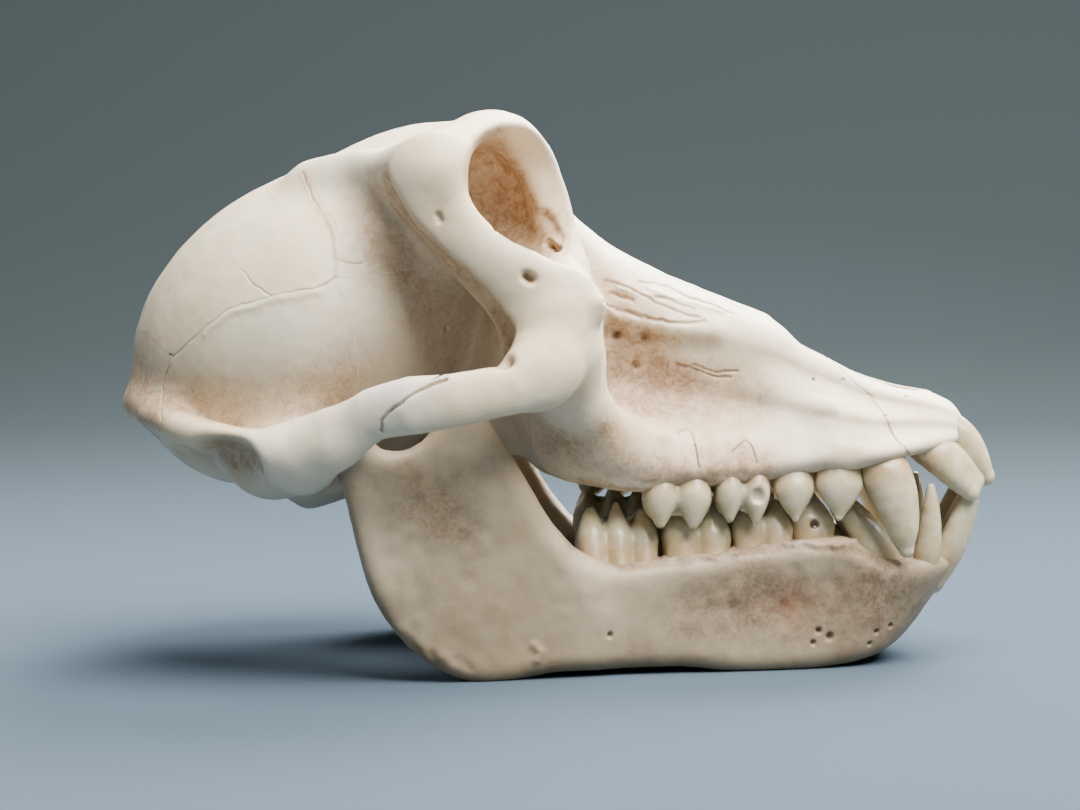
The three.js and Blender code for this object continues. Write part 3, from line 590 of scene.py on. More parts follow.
    def __call__(self, p: Array) -> Array:
        """Read the field.

        Args:
            p: Points in mm.

        Returns:
            Distance to the surface, about, below zero inside.
        """
        half = left_half(p)
        pinched = half / np.stack([np.ones(len(p)), self.pinch(p[:, 0]), np.ones(len(p))], axis=1)
        value = self.braincase(pinched) * self.pinch_slope
        for blend, shapes in ((joined, self.bodies), (carved, self.openings), (joined, self.rims)):
            for shape, fillet in shapes:
                near = np.ones(len(p), bool)
                for axis, (low, high) in enumerate(zip(*shape.box())):
                    near &= (half[:, axis] > low - self.felt) & (half[:, axis] < high + self.felt)
                value[near] = blend(value[near], shape(half[near]), fillet)
        front, inner, top = self.jaw_room
        near = np.flatnonzero((p[:, 0] < front) & (half[:, 1] > inner) & (p[:, 2] < top))
        value[near] = np.maximum(value[near], self.joint_gap - self.jaw(half[near]))
        return value

    def shaded_lining(self, p: Array) -> Array:
        """Tell how far points line the eye sockets, the nose or the temple hollows, for the shade painted
        there.

        Args:
            p: Points in mm.

        Returns:
            1 deep in an opening to 0 on open ground.
        """
        half = left_half(p)
        share = faded(np.minimum(self.eye_hole(half), self.eye_pocket(half)), *self.eye_lining)
        share *= faded(half[:, 1], *self.eye_width) * faded(p[:, 0], self.socket(p[:, 2]), self.socket_fade)
        share = np.maximum(share, faded(np.abs(self.nose_hole(half)), *self.nose_lining))
        return np.maximum(share, self.temple_shade_share * faded(self.temple_hollow(half), *self.temple_lining))


def slope_of(shape: Shape, points: Array, value: Array, step: float = 0.05) -> Array:
    """Measure a field's slope.

    Args:
        shape: The field.
        points: Where to measure it.
        value: The field's value there.
        step: Length of the steps taken.

    Returns:
        The slope along each axis.
    """
    return np.stack([shape(points + step * axis) - value for axis in np.eye(3)], axis=1) / step


# How near a settled point lies to its surface, in mm, and the least slope a step trusts
SETTLED = 0.01
LEAST_SLOPE = 0.15


def settle(shape: Shape, points: Array, rounds: int = 6, longest: float = 2.5) -> Array:
    """Move points onto the surface of a field.

    Args:
        shape: The field.
        points: The points, in mm.
        rounds: The most steps that a point takes.
        longest: The longest step.

    Returns:
        The moved points.
    """
    points = points.copy()
    moving = np.arange(len(points))
    for _ in range(rounds):
        value = shape(points[moving])
        off = np.abs(value) > SETTLED
        moving, value = moving[off], value[off]
        if not len(moving):
            break
        slope = slope_of(shape, points[moving], value)
        move = value[:, None] * slope / np.maximum((slope**2).sum(axis=1), LEAST_SLOPE)[:, None]
        length = np.linalg.norm(move, axis=1, keepdims=True)
        points[moving] -= move * np.minimum(1.0, longest / np.maximum(length, 1e-9))
    return points


def places(mesh: bpy.types.Mesh) -> Array:
    """Read where a mesh's vertices are.

    Args:
        mesh: The mesh.

    Returns:
        Their places in mm.
    """
    flat = np.empty(len(mesh.vertices) * 3, np.float64)
    mesh.vertices.foreach_get("co", flat)
    return flat.reshape(-1, 3) / MM


def place(mesh: bpy.types.Mesh, points: Array) -> None:
    """Put a mesh's vertices at points in mm."""
    mesh.vertices.foreach_set("co", (points * MM).ravel())
    mesh.update()


def normals(mesh: bpy.types.Mesh) -> Array:
    """Read which way a mesh's vertices face.

    Args:
        mesh: The mesh.

    Returns:
        Their normals.
    """
    flat = np.empty(len(mesh.vertices) * 3, np.float32)
    mesh.vertex_normals.foreach_get("vector", flat)
    return flat.reshape(-1, 3).astype(float)


def new_mesh(name: str, bm: bmesh.types.BMesh) -> bpy.types.Mesh:
    """Turn a bmesh into a mesh and free it.

    Args:
        name: Name of the mesh.
        bm: The bmesh.

    Returns:
        The mesh.
    """
    mesh = bpy.data.meshes.new(name)
    bm.to_mesh(mesh)
    bm.free()
    return mesh


def with_modifier(mesh: bpy.types.Mesh, kind: str, **settings: object) -> bpy.types.Mesh:
    """Apply one modifier to a mesh.

    Args:
        mesh: The mesh.
        kind: Kind of modifier.
        settings: Its settings.

    Returns:
        The new mesh.
    """
    holder = bpy.data.objects.new("holder", mesh)
    bpy.context.scene.collection.objects.link(holder)
    modifier = holder.modifiers.new("change", kind)
    for name, value in settings.items():
        setattr(modifier, name, value)
    graph = bpy.context.evaluated_depsgraph_get()
    result = bpy.data.meshes.new_from_object(holder.evaluated_get(graph))
    bpy.data.objects.remove(holder)
    return result


def remeshed(mesh: bpy.types.Mesh, cell: float) -> bpy.types.Mesh:
    """Give a mesh even cells, in mm."""
    return with_modifier(mesh, "REMESH", mode="VOXEL", voxel_size=cell * MM, adaptivity=0.0)


def cut_mesh(mesh: bpy.types.Mesh, tool: bpy.types.Mesh, operation: str) -> bpy.types.Mesh:
    """Cut one closed mesh with another.

    Args:
        mesh: The mesh that is cut.
        tool: The mesh that cuts it.
        operation: INTERSECT, DIFFERENCE or UNION.

    Returns:
        The cut mesh.
    """
    holder = bpy.data.objects.new("tool", tool)
    bpy.context.scene.collection.objects.link(holder)
    result = with_modifier(mesh, "BOOLEAN", object=holder, operation=operation, solver="MANIFOLD")
    bpy.data.objects.remove(holder)
    return result


def largest_part(mesh: bpy.types.Mesh) -> bpy.types.Mesh:
    """Drop every loose part of a mesh but the largest.

    Args:
        mesh: The mesh.

    Returns:
        The mesh of its largest part.
    """
    ends = np.empty(len(mesh.edges) * 2, np.int64)
    mesh.edges.foreach_get("vertices", ends)
    first, second = ends.reshape(-1, 2).T
    label = np.arange(len(mesh.vertices))
    while True:
        lowest = np.minimum(label[first], label[second])
        if (label[first] == lowest).all() and (label[second] == lowest).all():
            break
        np.minimum.at(label, label[first], lowest)
        np.minimum.at(label, label[second], lowest)
        while (label != label[label]).any():
            label = label[label]
    names, counts = np.unique(label, return_counts=True)
    if len(names) == 1:
        return mesh
    bm = bmesh.new()
    bm.from_mesh(mesh)
    loose = [vert for vert, keep in zip(bm.verts, label == names[counts.argmax()]) if not keep]
    bmesh.ops.delete(bm, geom=loose, context="VERTS")
    return new_mesh(mesh.name, bm)


MERGED = 0.001


def clay_of(nodes: Iterable[str], swell: float, rolls: Iterable[Rod] = ()) -> bpy.types.Mesh:
    """Join copies of CAD nodes into one rough mesh, swollen so that their cuts close.

    Args:
        nodes: Names of the nodes.
        swell: How far each is swollen, in mm.
        rolls: Rolls that are laid on either side of it.

    Returns:
        The rough mesh.
    """
    clay = bmesh.new()
    for roll in rolls:
        for x, y, z, radius in roll.balls() * MM:
            for side in Side:
                spot = Matrix.Translation((x, y * side.value, z))
                bmesh.ops.create_icosphere(clay, subdivisions=2, radius=radius, matrix=spot)
    for name in nodes:
        bm = bmesh.new()
        bm.from_mesh(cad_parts[name].data)
        bmesh.ops.remove_doubles(bm, verts=bm.verts, dist=MERGED * MM)
        bm.normal_update()
        for vert in bm.verts:
            vert.co += vert.normal * swell * MM
        clay.from_mesh(new_mesh(name + "_copy", bm))
    return new_mesh("clay", clay)


def sculpted(clay: bpy.types.Mesh, shape: Shape, rough: float, fine: float) -> bpy.types.Mesh:
    """Work a rough mesh onto a field's surface in even cells.

    Args:
        clay: The rough mesh.
        shape: The field.
        rough: Cell of the first pass in mm.
        fine: Cell of the last pass in mm.

    Returns:
        The finished mesh.
    """
    mesh = remeshed(clay, rough)
    place(mesh, settle(shape, places(mesh), rounds=10))
    mesh = largest_part(remeshed(mesh, fine))
    place(mesh, settle(shape, places(mesh)))
    return mesh


class Sight:
    """Finds where lines of sight through the picture meet a surface."""

    STEP: ClassVar[float] = 1.2
    STRAY_SIZE: ClassVar[float] = 7.0
    SEED_STEP: ClassVar[float] = 31.0

    def __init__(self, mesh: bpy.types.Mesh) -> None:
        """Make the search tree of a surface.

        Args:
            mesh: The surface, in metres.
        """
        bm = bmesh.new()
        bm.from_mesh(mesh)
        self.tree = BVHTree.FromBMesh(bm)
        bm.free()
        self.forward = (AIM - EYE) / np.linalg.norm(AIM - EYE)
        self.across = np.array([1.0, 0.0, 0.0])
        self.upward = np.cross(self.across, self.forward)

    def hit(self, pixel: Sequence[float]) -> Array | None:
        """Find the first point of the surface behind a picture point.

        Args:
            pixel: Column and row in the picture.

        Returns:
            The point in mm, or None where the line misses.
        """
        column, row = pixel[0] - PICTURE[0] / 2, PICTURE[1] / 2 - pixel[1]
        ray = self.forward + (self.across * column + self.upward * row) / FOCAL_PIXELS
        found = self.tree.ray_cast(Vector(EYE * MM), Vector(ray))
        return None if found[0] is None else np.array(found[0]) / MM

    def trace(self, pixels: Sequence[Sequence[float]], wander: float, seed: int) -> Array:
        """Lay a line of picture points on the surface.

        Args:
            pixels: Corners of the line in the picture.
            wander: How far it strays to either side, in pixels.
            seed: Seed of its straying.

        Returns:
            Close points along it in mm.
        """
        corners = np.array(pixels, float)
        if len(corners) == 1:
            samples = corners
        else:
            spans = np.linalg.norm(np.diff(corners, axis=0), axis=1)
            along = np.r_[0.0, np.cumsum(spans)]
            steps = np.linspace(0.0, along[-1], max(int(along[-1] / self.STEP), 2))
            samples = np.stack([np.interp(steps, along, corners[:, i]) for i in (0, 1)], axis=1)
            keys = np.column_stack([samples, np.full(len(samples), seed * self.SEED_STEP)])
            stray = np.stack([GRAIN(keys + shift, self.STRAY_SIZE) for shift in (0.0, STRAY_SHIFT)], axis=1)
            samples = samples + stray * wander
        hits = [self.hit(sample) for sample in samples]
        return np.array([hit for hit in hits if hit is not None])


@dataclass(frozen=True)
class Mark:
    """A pit, groove, hollow or ridge laid on a surface, and the staining or painted shade in it."""

    path: tuple[tuple[float, float], ...]
    width: float
    depth: float
    tint: Tint | None = None
    strength: float = 0.0
    spread: float = 1.5
    mirrored: bool = True
    wander: float = 1.2


@dataclass
class LaidMark:
    """A mark with its points found on the surface."""

    RUN: ClassVar[int] = 24

    mark: Mark
    points: Array

    def reach(self, places_mm: Array, radius: float) -> tuple[Array, Array]:
        """Find the points near the mark.

        Args:
            places_mm: Points in mm.
            radius: How near they are.

        Returns:
            Their numbers and their distances to the mark.
        """
        best = np.full(len(places_mm), np.inf)
        for start in range(0, len(self.points), self.RUN):
            run = self.points[start:start + self.RUN]
            low, high = run.min(axis=0) - radius, run.max(axis=0) + radius
            inside = places_mm[:, 0] > low[0]
            for axis in range(3):
                inside &= (places_mm[:, axis] > low[axis]) & (places_mm[:, axis] < high[axis])
            near = np.flatnonzero(inside)
            for point in run:
                best[near] = np.minimum(best[near], ((places_mm[near] - point) ** 2).sum(axis=1))
        near = np.flatnonzero(best < radius**2)
        return near, np.sqrt(best[near])


def laid(marks: Iterable[Mark], sight: Sight) -> list[LaidMark]:
    """Lay marks on a surface, and those that are mirrored on its far side too.

    Args:
        marks: The marks.
        sight: Finds their places.

    Returns:
        The laid marks.
    """
    found: list[LaidMark] = []
    for seed, mark in enumerate(marks):
        points = sight.trace(mark.path, mark.wander, seed)
        if not len(points):
            continue
        found.append(LaidMark(mark, points))
        if mark.mirrored:
            found.append(LaidMark(mark, points * (1.0, -1.0, 1.0)))
    return found


# Widest mark of each pass, and how far round it cells are split: in widths and in mm more
REFINING = ((1.5, 3.0, 0.6), (1.0, 2.0, 0.3), (0.31, 1.6, 0.15))


def refined(mesh: bpy.types.Mesh, marks: Sequence[LaidMark]) -> bpy.types.Mesh:
    """Split the cells near the finer marks, more often for the finest.

    Args:
        mesh: The mesh.
        marks: The laid marks.

    Returns:
        The refined mesh.
    """
    for widest, widths, extra in REFINING:
        points = places(mesh)
        close = np.zeros(len(points), bool)
        for item in marks:
            if item.mark.width < widest:
                near, _ = item.reach(points, item.mark.width * widths + extra)
                close[near] = True
        bm = bmesh.new()
        bm.from_mesh(mesh)
        edges = [edge for edge in bm.edges if close[edge.verts[0].index] and close[edge.verts[1].index]]
        bmesh.ops.subdivide_edges(bm, edges=edges, cuts=1, use_grid_fill=True)
        mesh = new_mesh(mesh.name, bm)
    return mesh


# How far a mark's relief and its staining or painted shade reach, in widths and spreads, and how uneven they
# are
RELIEF_REACH, RELIEF_SWING, RELIEF_SIZE = 3.0, 0.45, 2.4
STAIN_REACH, STAIN_SWING, STAIN_SIZE, LEAST_SIZE, STAIN_MOST = 2.6, 0.6, 1.5, 2.0, 1.4


def relief(points: Array, marks: Sequence[LaidMark]) -> Array:
    """Add up how far marks raise or sink a surface.

    Args:
        points: Points on it in mm.
        marks: The laid marks.

    Returns:
        The height of each point, in mm.
    """
    height = np.zeros(len(points))
    for item in marks:
        near, away = item.reach(points, item.mark.width * RELIEF_REACH)
        uneven = 1.0 + RELIEF_SWING * GRAIN(points[near], RELIEF_SIZE)
        height[near] -= item.mark.depth * uneven * np.exp(-((away / item.mark.width) ** 2))
    return height


def tints(points: Array, marks: Sequence[LaidMark]) -> dict[Tint, Array]:
    """Add up the stains and painted shade of marks.

    Args:
        points: Points in mm.
        marks: The laid marks.

    Returns:
        The strength of each tint, staining or painted shade, at each point.
    """
    found = {tint: np.zeros(len(points)) for tint in Tint}
    for item in marks:
        if item.mark.tint is None:
            continue
        near, away = item.reach(points, item.mark.spread * STAIN_REACH)
        size = max(item.mark.spread * STAIN_SIZE, LEAST_SIZE)
        uneven = np.clip(1.0 + STAIN_SWING * GRAIN(points[near] + STAIN_SHIFT, size), 0.0, STAIN_MOST)
        share = np.clip(item.mark.strength * uneven, 0.0, 1.0) * np.exp(-((away / item.mark.spread) ** 2))
        found[item.mark.tint][near] = np.maximum(found[item.mark.tint][near], share)
    return found


RIPPLES = ((0.12, 6.0), (0.05, 1.8))


def worked(mesh: bpy.types.Mesh, form: Shape, marks: Iterable[Mark]) -> tuple[bpy.types.Mesh, list[LaidMark]]:
    """Lay marks and small ripples on a bone's surface.

    Args:
        mesh: The bone's mesh.
        form: Its field.
        marks: The marks.

    Returns:
        The worked mesh, nowhere under the floor, and the laid marks.
    """
    laid_marks = laid(marks, Sight(mesh))
    mesh = refined(mesh, laid_marks)
    points = settle(form, places(mesh))
    place(mesh, points)
    height = relief(points, laid_marks)
    for rise, size in RIPPLES:
        height += rise * GRAIN(points, size)
    points = points + normals(mesh) * height[:, None]
    points[:, 2] = np.maximum(points[:, 2], 0.0)
    place(mesh, points)
    return mesh, laid_marks


class NodeKit:
    """Short hand for making a material's nodes."""

    def __init__(self, name: str) -> None:
        """Start a material with its shader.

        Args:
            name: Name of the material.
        """
        self.material = bpy.data.materials.new(name)
        self.material.use_nodes = True
        self.tree = self.material.node_tree
        self.shader = next(node for node in self.tree.nodes if node.type == "BSDF_PRINCIPLED")
        self.object = self.add("ShaderNodeTexCoord").outputs["Object"]

    def add(self, kind: str, **settings: object) -> bpy.types.Node:
        """Add a node.

        Args:
            kind: Kind of node.
            settings: Its fields.

        Returns:
            The node.
        """
        node = self.tree.nodes.new(kind)
        for name, value in settings.items():
            setattr(node, name, value)
        return node

    def link(self, source: bpy.types.NodeSocket, target: bpy.types.NodeSocket) -> None:
        """Link two sockets."""
        self.tree.links.new(source, target)

    def constants(self, values: dict[str, object]) -> None:
        """Set plain values on the shader."""
        for name, value in values.items():
            self.shader.inputs[name].default_value = value

    def noise(self, scale: float, detail: float = 4.0, roughness: float = 0.55,
              warp: float = 0.0) -> bpy.types.NodeSocket:
        """Add noise on the object's own coordinates.

        Args:
            scale: Lumps per metre.
            detail: How many finer layers it has.
            roughness: How strong they are.
            warp: How far it is bent out of line.

        Returns:
            Its value.
        """
        node = self.add("ShaderNodeTexNoise")
        self.link(self.object, node.inputs["Vector"])
        settings = {"Scale": scale, "Detail": detail, "Roughness": roughness, "Distortion": warp}
        for name, value in settings.items():
            node.inputs[name].default_value = value
        return node.outputs["Fac"]

    def ranged(self, value: bpy.types.NodeSocket, low: float, high: float,
               start: float = 0.0, end: float = 1.0) -> bpy.types.NodeSocket:
        """Map a value from one range to another.

        Args:
            value: The value.
            low: What becomes start.
            high: What becomes end.
            start: The new low.
            end: The new high.

        Returns:
            The mapped value.
        """
        node = self.add("ShaderNodeMapRange", clamp=True)
        self.link(value, node.inputs["Value"])
        for name, number in (("From Min", low), ("From Max", high), ("To Min", start), ("To Max", end)):
            node.inputs[name].default_value = number
        return node.outputs["Result"]

    def attribute(self, name: str) -> bpy.types.NodeSocket:
        """Read a vertex attribute."""
        return self.add("ShaderNodeAttribute", attribute_name=name).outputs["Fac"]

    def math(self, operation: str, a: object, b: object) -> bpy.types.NodeSocket:
        """Work out a sum of two values or sockets.

        Args:
            operation: The sum.
            a: The first value.
            b: The second value.

        Returns:
            The result.
        """
        node = self.add("ShaderNodeMath", operation=operation)
        for socket, value in zip(node.inputs, (a, b)):
            if isinstance(value, bpy.types.NodeSocket):
                self.link(value, socket)
            else:
                socket.default_value = value
        return node.outputs[0]

    def mixed(self, share: bpy.types.NodeSocket, below: object, above: object) -> bpy.types.NodeSocket:
        """Mix two colours.

        Args:
            share: How much of the second shows.
            below: The first colour or socket.
            above: The second colour or socket.

        Returns:
            The mixed colour.
        """
        node = self.add("ShaderNodeMix", data_type="RGBA")
        self.link(share, node.inputs["Factor"])
        colours = [socket for socket in node.inputs if socket.type == "RGBA"]
        for socket, value in zip(colours, (below, above)):
            if isinstance(value, bpy.types.NodeSocket):
                self.link(value, socket)
            else:
                socket.default_value = (*value, 1.0)
        return next(socket for socket in node.outputs if socket.type == "RGBA")

    def bump(self, height: bpy.types.NodeSocket, strength: float, distance: float,
             under: bpy.types.NodeSocket | None = None) -> bpy.types.NodeSocket:
        """Add a bump, on top of another if given.

        Args:
            height: Its height.
            strength: Its strength.
            distance: Its depth in metres.
            under: The normal below it.

        Returns:
            The normal.
        """
        node = self.add("ShaderNodeBump")
        node.inputs["Strength"].default_value = strength
        node.inputs["Distance"].default_value = distance
        self.link(height, node.inputs["Height"])
        if under is not None:
            self.link(under, node.inputs["Normal"])
        return node.outputs["Normal"]


Colour = tuple[float, float, float]
# Scale, detail, roughness and warp of a noise
Noise = tuple[float, ...]
BONE_SHADER = {
    "Subsurface Weight": 0.12, "Subsurface Radius": (0.9, 0.55, 0.3), "Subsurface Scale": 0.002,
    "Specular IOR Level": 0.42,
}
ENAMEL_SHADER = {
    "Subsurface Weight": 0.15, "Subsurface Radius": (0.9, 0.6, 0.35), "Subsurface Scale": 0.002,
    "Coat Weight": 0.25, "Coat Roughness": 0.2,
}
FLOOR_SHADER = {"Roughness": 0.9, "Specular IOR Level": 0.0}


@dataclass(frozen=True)
class BoneFinish:
    """Dry ivory bone with staining and painted shade in its hollows, painted shade in its pits, rusty stains
    and fine pores.
    """

    name: str
    cream: Colour = (0.76, 0.615, 0.40)
    ivory: Colour = (0.83, 0.735, 0.555)
    tan: Colour = (0.35, 0.21, 0.115)
    rust: Colour = (0.26, 0.10, 0.045)
    dark: Colour = (0.05, 0.022, 0.012)
    chalk: Colour = (0.80, 0.765, 0.74)
    roughness: tuple[float, float] = (0.42, 0.62)
    pore_depth: float = 0.00012
    pore_share: float = 0.6
    clouds: Noise = (38.0, 5.0, 0.6)
    mottle: Noise = (420.0, 6.0, 0.7, 0.6)
    fibres: Noise = (1500.0, 3.0, 0.6)
    sheen: Noise = (160.0, 4.0)
    grain: Noise = (700.0, 5.0, 0.6)
    pores: Noise = (2600.0, 2.0, 0.5)

    def build(self) -> bpy.types.Material:
        """Make the material.

        Returns:
            The material.
        """
        n = NodeKit(self.name)
        colour = n.mixed(n.ranged(n.noise(*self.clouds), 0.38, 0.62), self.cream, self.ivory)
        mottle = n.ranged(n.noise(*self.mottle), 0.3, 0.72, 0.45, 1.25)
        fibres = n.ranged(n.noise(*self.fibres), 0.3, 0.7, 0.75, 1.15)
        # Tan staining with painted shade, rust and chalk laid over the bone's colour
        for tint, shade in ((Tint.TAN, self.tan), (Tint.RUST, self.rust), (Tint.CHALK, self.chalk)):
            share = n.math("MULTIPLY", n.math("MULTIPLY", n.attribute(tint.value), mottle), fibres)
            colour = n.mixed(n.ranged(share, 0.0, 1.0), colour, shade)
        # Painted shade in pits, holes and cracks
        colour = n.mixed(n.attribute(Tint.DARK.value), colour, self.dark)
        n.link(colour, n.shader.inputs["Base Color"])
        n.link(n.ranged(n.noise(*self.sheen), 0.3, 0.7, *self.roughness), n.shader.inputs["Roughness"])
        n.constants(BONE_SHADER)
        grain = n.bump(n.noise(*self.grain), 0.25, self.pore_depth)
        pores = n.bump(n.noise(*self.pores), 0.3, self.pore_depth * self.pore_share, grain)
        n.link(pores, n.shader.inputs["Normal"])
        return n.material


@dataclass(frozen=True)
class EnamelFinish:
    """Glossy ivory enamel, yellow and brown towards the gum, with painted shade in its chips."""

    name: str = "enamel"
    crown: Colour = (0.50, 0.405, 0.22)
    tip: Colour = (0.60, 0.53, 0.37)
    neck: Colour = (0.40, 0.26, 0.125)
    dark: Colour = (0.07, 0.03, 0.015)
    roughness: tuple[float, float] = (0.2, 0.4)
    neck_fade: tuple[float, float] = (0.36, 0.03)
    ripple_depth: float = 0.0001
    clouds: Noise = (300.0, 4.0)
    stains: Noise = (500.0, 5.0, 0.65)
    sheen: Noise = (240.0, 3.0)
    ripples: Noise = (900.0, 3.0)

    def build(self) -> bpy.types.Material:
        """Make the material.

        Returns:
            The material.
        """
        n = NodeKit(self.name)
        up = n.attribute("crown_height")
        colour = n.mixed(n.ranged(n.noise(*self.clouds), 0.35, 0.65), self.crown, self.tip)
        patches = n.ranged(n.noise(*self.stains), 0.3, 0.7, 0.35, 1.0)
        stained = n.math("MULTIPLY", n.ranged(up, *self.neck_fade), patches)
        colour = n.mixed(stained, colour, self.neck)
        # Painted shade in the chips
        colour = n.mixed(n.attribute(Tint.DARK.value), colour, self.dark)
        n.link(colour, n.shader.inputs["Base Color"])
        n.link(n.ranged(n.noise(*self.sheen), 0.3, 0.7, *self.roughness), n.shader.inputs["Roughness"])
        n.constants(ENAMEL_SHADER)
        n.link(n.bump(n.noise(*self.ripples), 0.15, self.ripple_depth), n.shader.inputs["Normal"])
        return n.material


@dataclass(frozen=True)
class FloorFinish:
    """Plain pale studio floor, with painted shade darkening it where it rises behind."""

    name: str = "studio_floor"
    shade: Colour = (0.066, 0.090, 0.116)
    # The floor's colour where it rises behind: painted shade
    far: Colour = (0.047, 0.059, 0.063)
    fade: tuple[float, float] = (0.1, 0.6)

    def build(self) -> bpy.types.Material:
        """Make the material.

        Returns:
            The material.
        """
        n = NodeKit(self.name)
        split = n.add("ShaderNodeSeparateXYZ")
        n.link(n.object, split.inputs[0])
        # Painted shade: darker towards the back
        colour = n.mixed(n.ranged(split.outputs["Y"], *self.fade), self.shade, self.far)
        n.link(colour, n.shader.inputs["Base Color"])
        n.constants(FLOOR_SHADER)
        return n.material


def dress(name: str, mesh: bpy.types.Mesh, material: bpy.types.Material, node: str) -> bpy.types.Object:
    """Put a finished mesh in the scene on the root body, and hide the CAD node it stands for.

    Args:
        name: Name of the piece.
        mesh: Its mesh.
        material: Its material.
        node: The CAD node it replaces.

    Returns:
        The piece.
    """
    mesh.name = name
    mesh.materials.clear()
    mesh.materials.append(material)
    mesh.shade_smooth()
    piece = bpy.data.objects.new(name, mesh)
    bpy.context.scene.collection.objects.link(piece)
    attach(piece, "root")
    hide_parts(node)
    LOG.info("%s: %d faces for node %s", name, len(mesh.polygons), node)
    return piece


def set_attribute(mesh: bpy.types.Mesh, name: str, values: Array) -> None:
    """Store a value per vertex."""
    layer = mesh.attributes.new(name, "FLOAT", "POINT")
    layer.data.foreach_set("value", values.astype(np.float32))


# How far out a hollow is felt for its painted shade, in mm, and how much each distance counts
HOLLOW_PROBES = ((6.0, 0.65), (15.0, 1.1))
HOLLOW_MOST = 1.2


def hollow_share(shape: Shape, points: Array, outward: Array) -> Array:
    """Measure how far a surface is shut in by what stands round it.

    Args:
        shape: The field.
        points: Points on its surface.
        outward: Normals there.

    Returns:
        0 on open ground to 1 deep in a hollow.
    """
    shut = np.zeros(len(points))
    for reach, weight in HOLLOW_PROBES:
        shut += weight * np.clip(1.0 - shape(points + outward * reach) / reach, 0.0, HOLLOW_MOST)
    return shut


@dataclass(frozen=True)
class StainsAndShade:
    """How shade and stains are painted on a bone: painted shade in its hollows and in the linings of openings,
    and stains in faint blotches.
    """

    blotches: float = 0.12
    open_ground: float = 0.12
    shut_span: float = 1.1
    hollow_tan: float = 0.75
    lining_tan: float = 0.85
    patches: tuple[float, float, float] = (0.8, 0.3, 14.0)
    blotch_base: float = 0.35
    blotch_size: float = 11.0
    fleck_share: float = 0.6
    fleck_size: float = 4.0

    def stain_and_shade(self, bone: bpy.types.Mesh, form: Shape, marks: Sequence[LaidMark],
              shaded_lining: Array | float = 0.0) -> None:
        """Store a bone's stains and painted shade on its vertices.

        Args:
            bone: The bone's mesh.
            form: Its field, from which its hollows are read.
            marks: Laid marks with their stains and painted shade.
            shaded_lining: How far each vertex lines a deep opening, which sets its painted shade.
        """
        points, outward = places(bone), normals(bone)
        shares = tints(points, marks)
        shut = smooth_step((hollow_share(form, points, outward) - self.open_ground) / self.shut_span)
        mean, swing, size = self.patches
        patches = mean + swing * GRAIN(points, size)
        flecks = self.fleck_share * GRAIN(points + FLECK_SHIFT, self.fleck_size)
        blotches = np.clip(self.blotch_base + GRAIN(points + FAINT_SHIFT, self.blotch_size) + flecks, 0.0, 1.0)
        # Painted shade in hollows and in the linings of openings, with blotches of staining on top
        shade_and_blotches = (self.hollow_tan * shut + self.lining_tan * shaded_lining) * patches + self.blotches * blotches
        shares[Tint.TAN] = np.clip(shares[Tint.TAN] + shade_and_blotches, 0.0, 1.0)
        for tint, values in shares.items():
            set_attribute(bone, tint.value, values)


# Sutures seen from the side, as places along X and heights, and how far blocks reach past the skull
CORONAL = ((-52.5, 112), (-50.2, 95.8), (-47.1, 90.2), (-43.2, 84.5), (-42.3, 80.2), (-42, 75.8))
SQUAMOSAL = ((-45.5, 73.8), (-53.2, 72.6), (-62.8, 69.8), (-67.6, 65.8), (-74, 60.4))
LAMBDOID = ((-79, 64.5), (-98, 67))
BEYOND = 70.0


@dataclass(frozen=True)
class Block:
    """A block across the skull, as an outline seen from the side and its reach along Y."""

    outline: Outline
    start: float = -BEYOND
    end: float = BEYOND
    step: float = 1.2
    wander: float = 0.5
    wave: float = 2.6

    def mesh(self) -> bpy.types.Mesh:
        """Make the block, its walls wavy as a suture.

        Returns:
            The block's mesh.
        """
        corners = np.array(self.outline + self.outline[:1], float)
        along = np.r_[0.0, np.cumsum(np.linalg.norm(np.diff(corners, axis=0), axis=1))]
        bm = bmesh.new()
        steps = np.arange(0.0, along[-1] - self.step / 2, self.step)
        x, z = (np.interp(steps, along, corners[:, i]) for i in (0, 1))
        rim = [bm.verts.new((x[i], self.start, z[i])) for i in range(len(steps))]
        bmesh.ops.contextual_create(bm, geom=rim)
        grown = bmesh.ops.extrude_face_region(bm, geom=bm.faces[:], use_keep_orig=True)["geom"]
        ends = [item for item in grown if isinstance(item, bmesh.types.BMVert)]
        bmesh.ops.translate(bm, vec=(0.0, self.end - self.start, 0.0), verts=ends)
        sides = [edge for edge in bm.edges if abs(edge.verts[0].co.y - edge.verts[1].co.y) > self.step]
        cuts = int((self.end - self.start) / self.step)
        bmesh.ops.subdivide_edges(bm, edges=sides, cuts=cuts, use_grid_fill=True)
        bmesh.ops.triangulate(bm, faces=bm.faces)
        bmesh.ops.recalc_face_normals(bm, faces=bm.faces)
        mesh = new_mesh("block", bm)
        points = np.array([vert.co for vert in mesh.vertices])
        points[:, 0], points[:, 2] = (
            points[:, 0] + GRAIN(points, self.wave) * self.wander,
            points[:, 2] + GRAIN(points + SUTURE_SHIFT, self.wave) * self.wander,
        )
        place(mesh, points)
        return mesh


@dataclass(frozen=True)
class BoneCut:
    """The blocks that part one bone from the cranium."""

    node: str
    slot: str
    blocks: tuple[Block, ...]

    def tool(self) -> bpy.types.Mesh:
        """Join the blocks.

        Returns:
            One cutting mesh.
        """
        mesh = self.blocks[0].mesh()
        for block in self.blocks[1:]:
            mesh = cut_mesh(mesh, block.mesh(), "UNION")
        return mesh


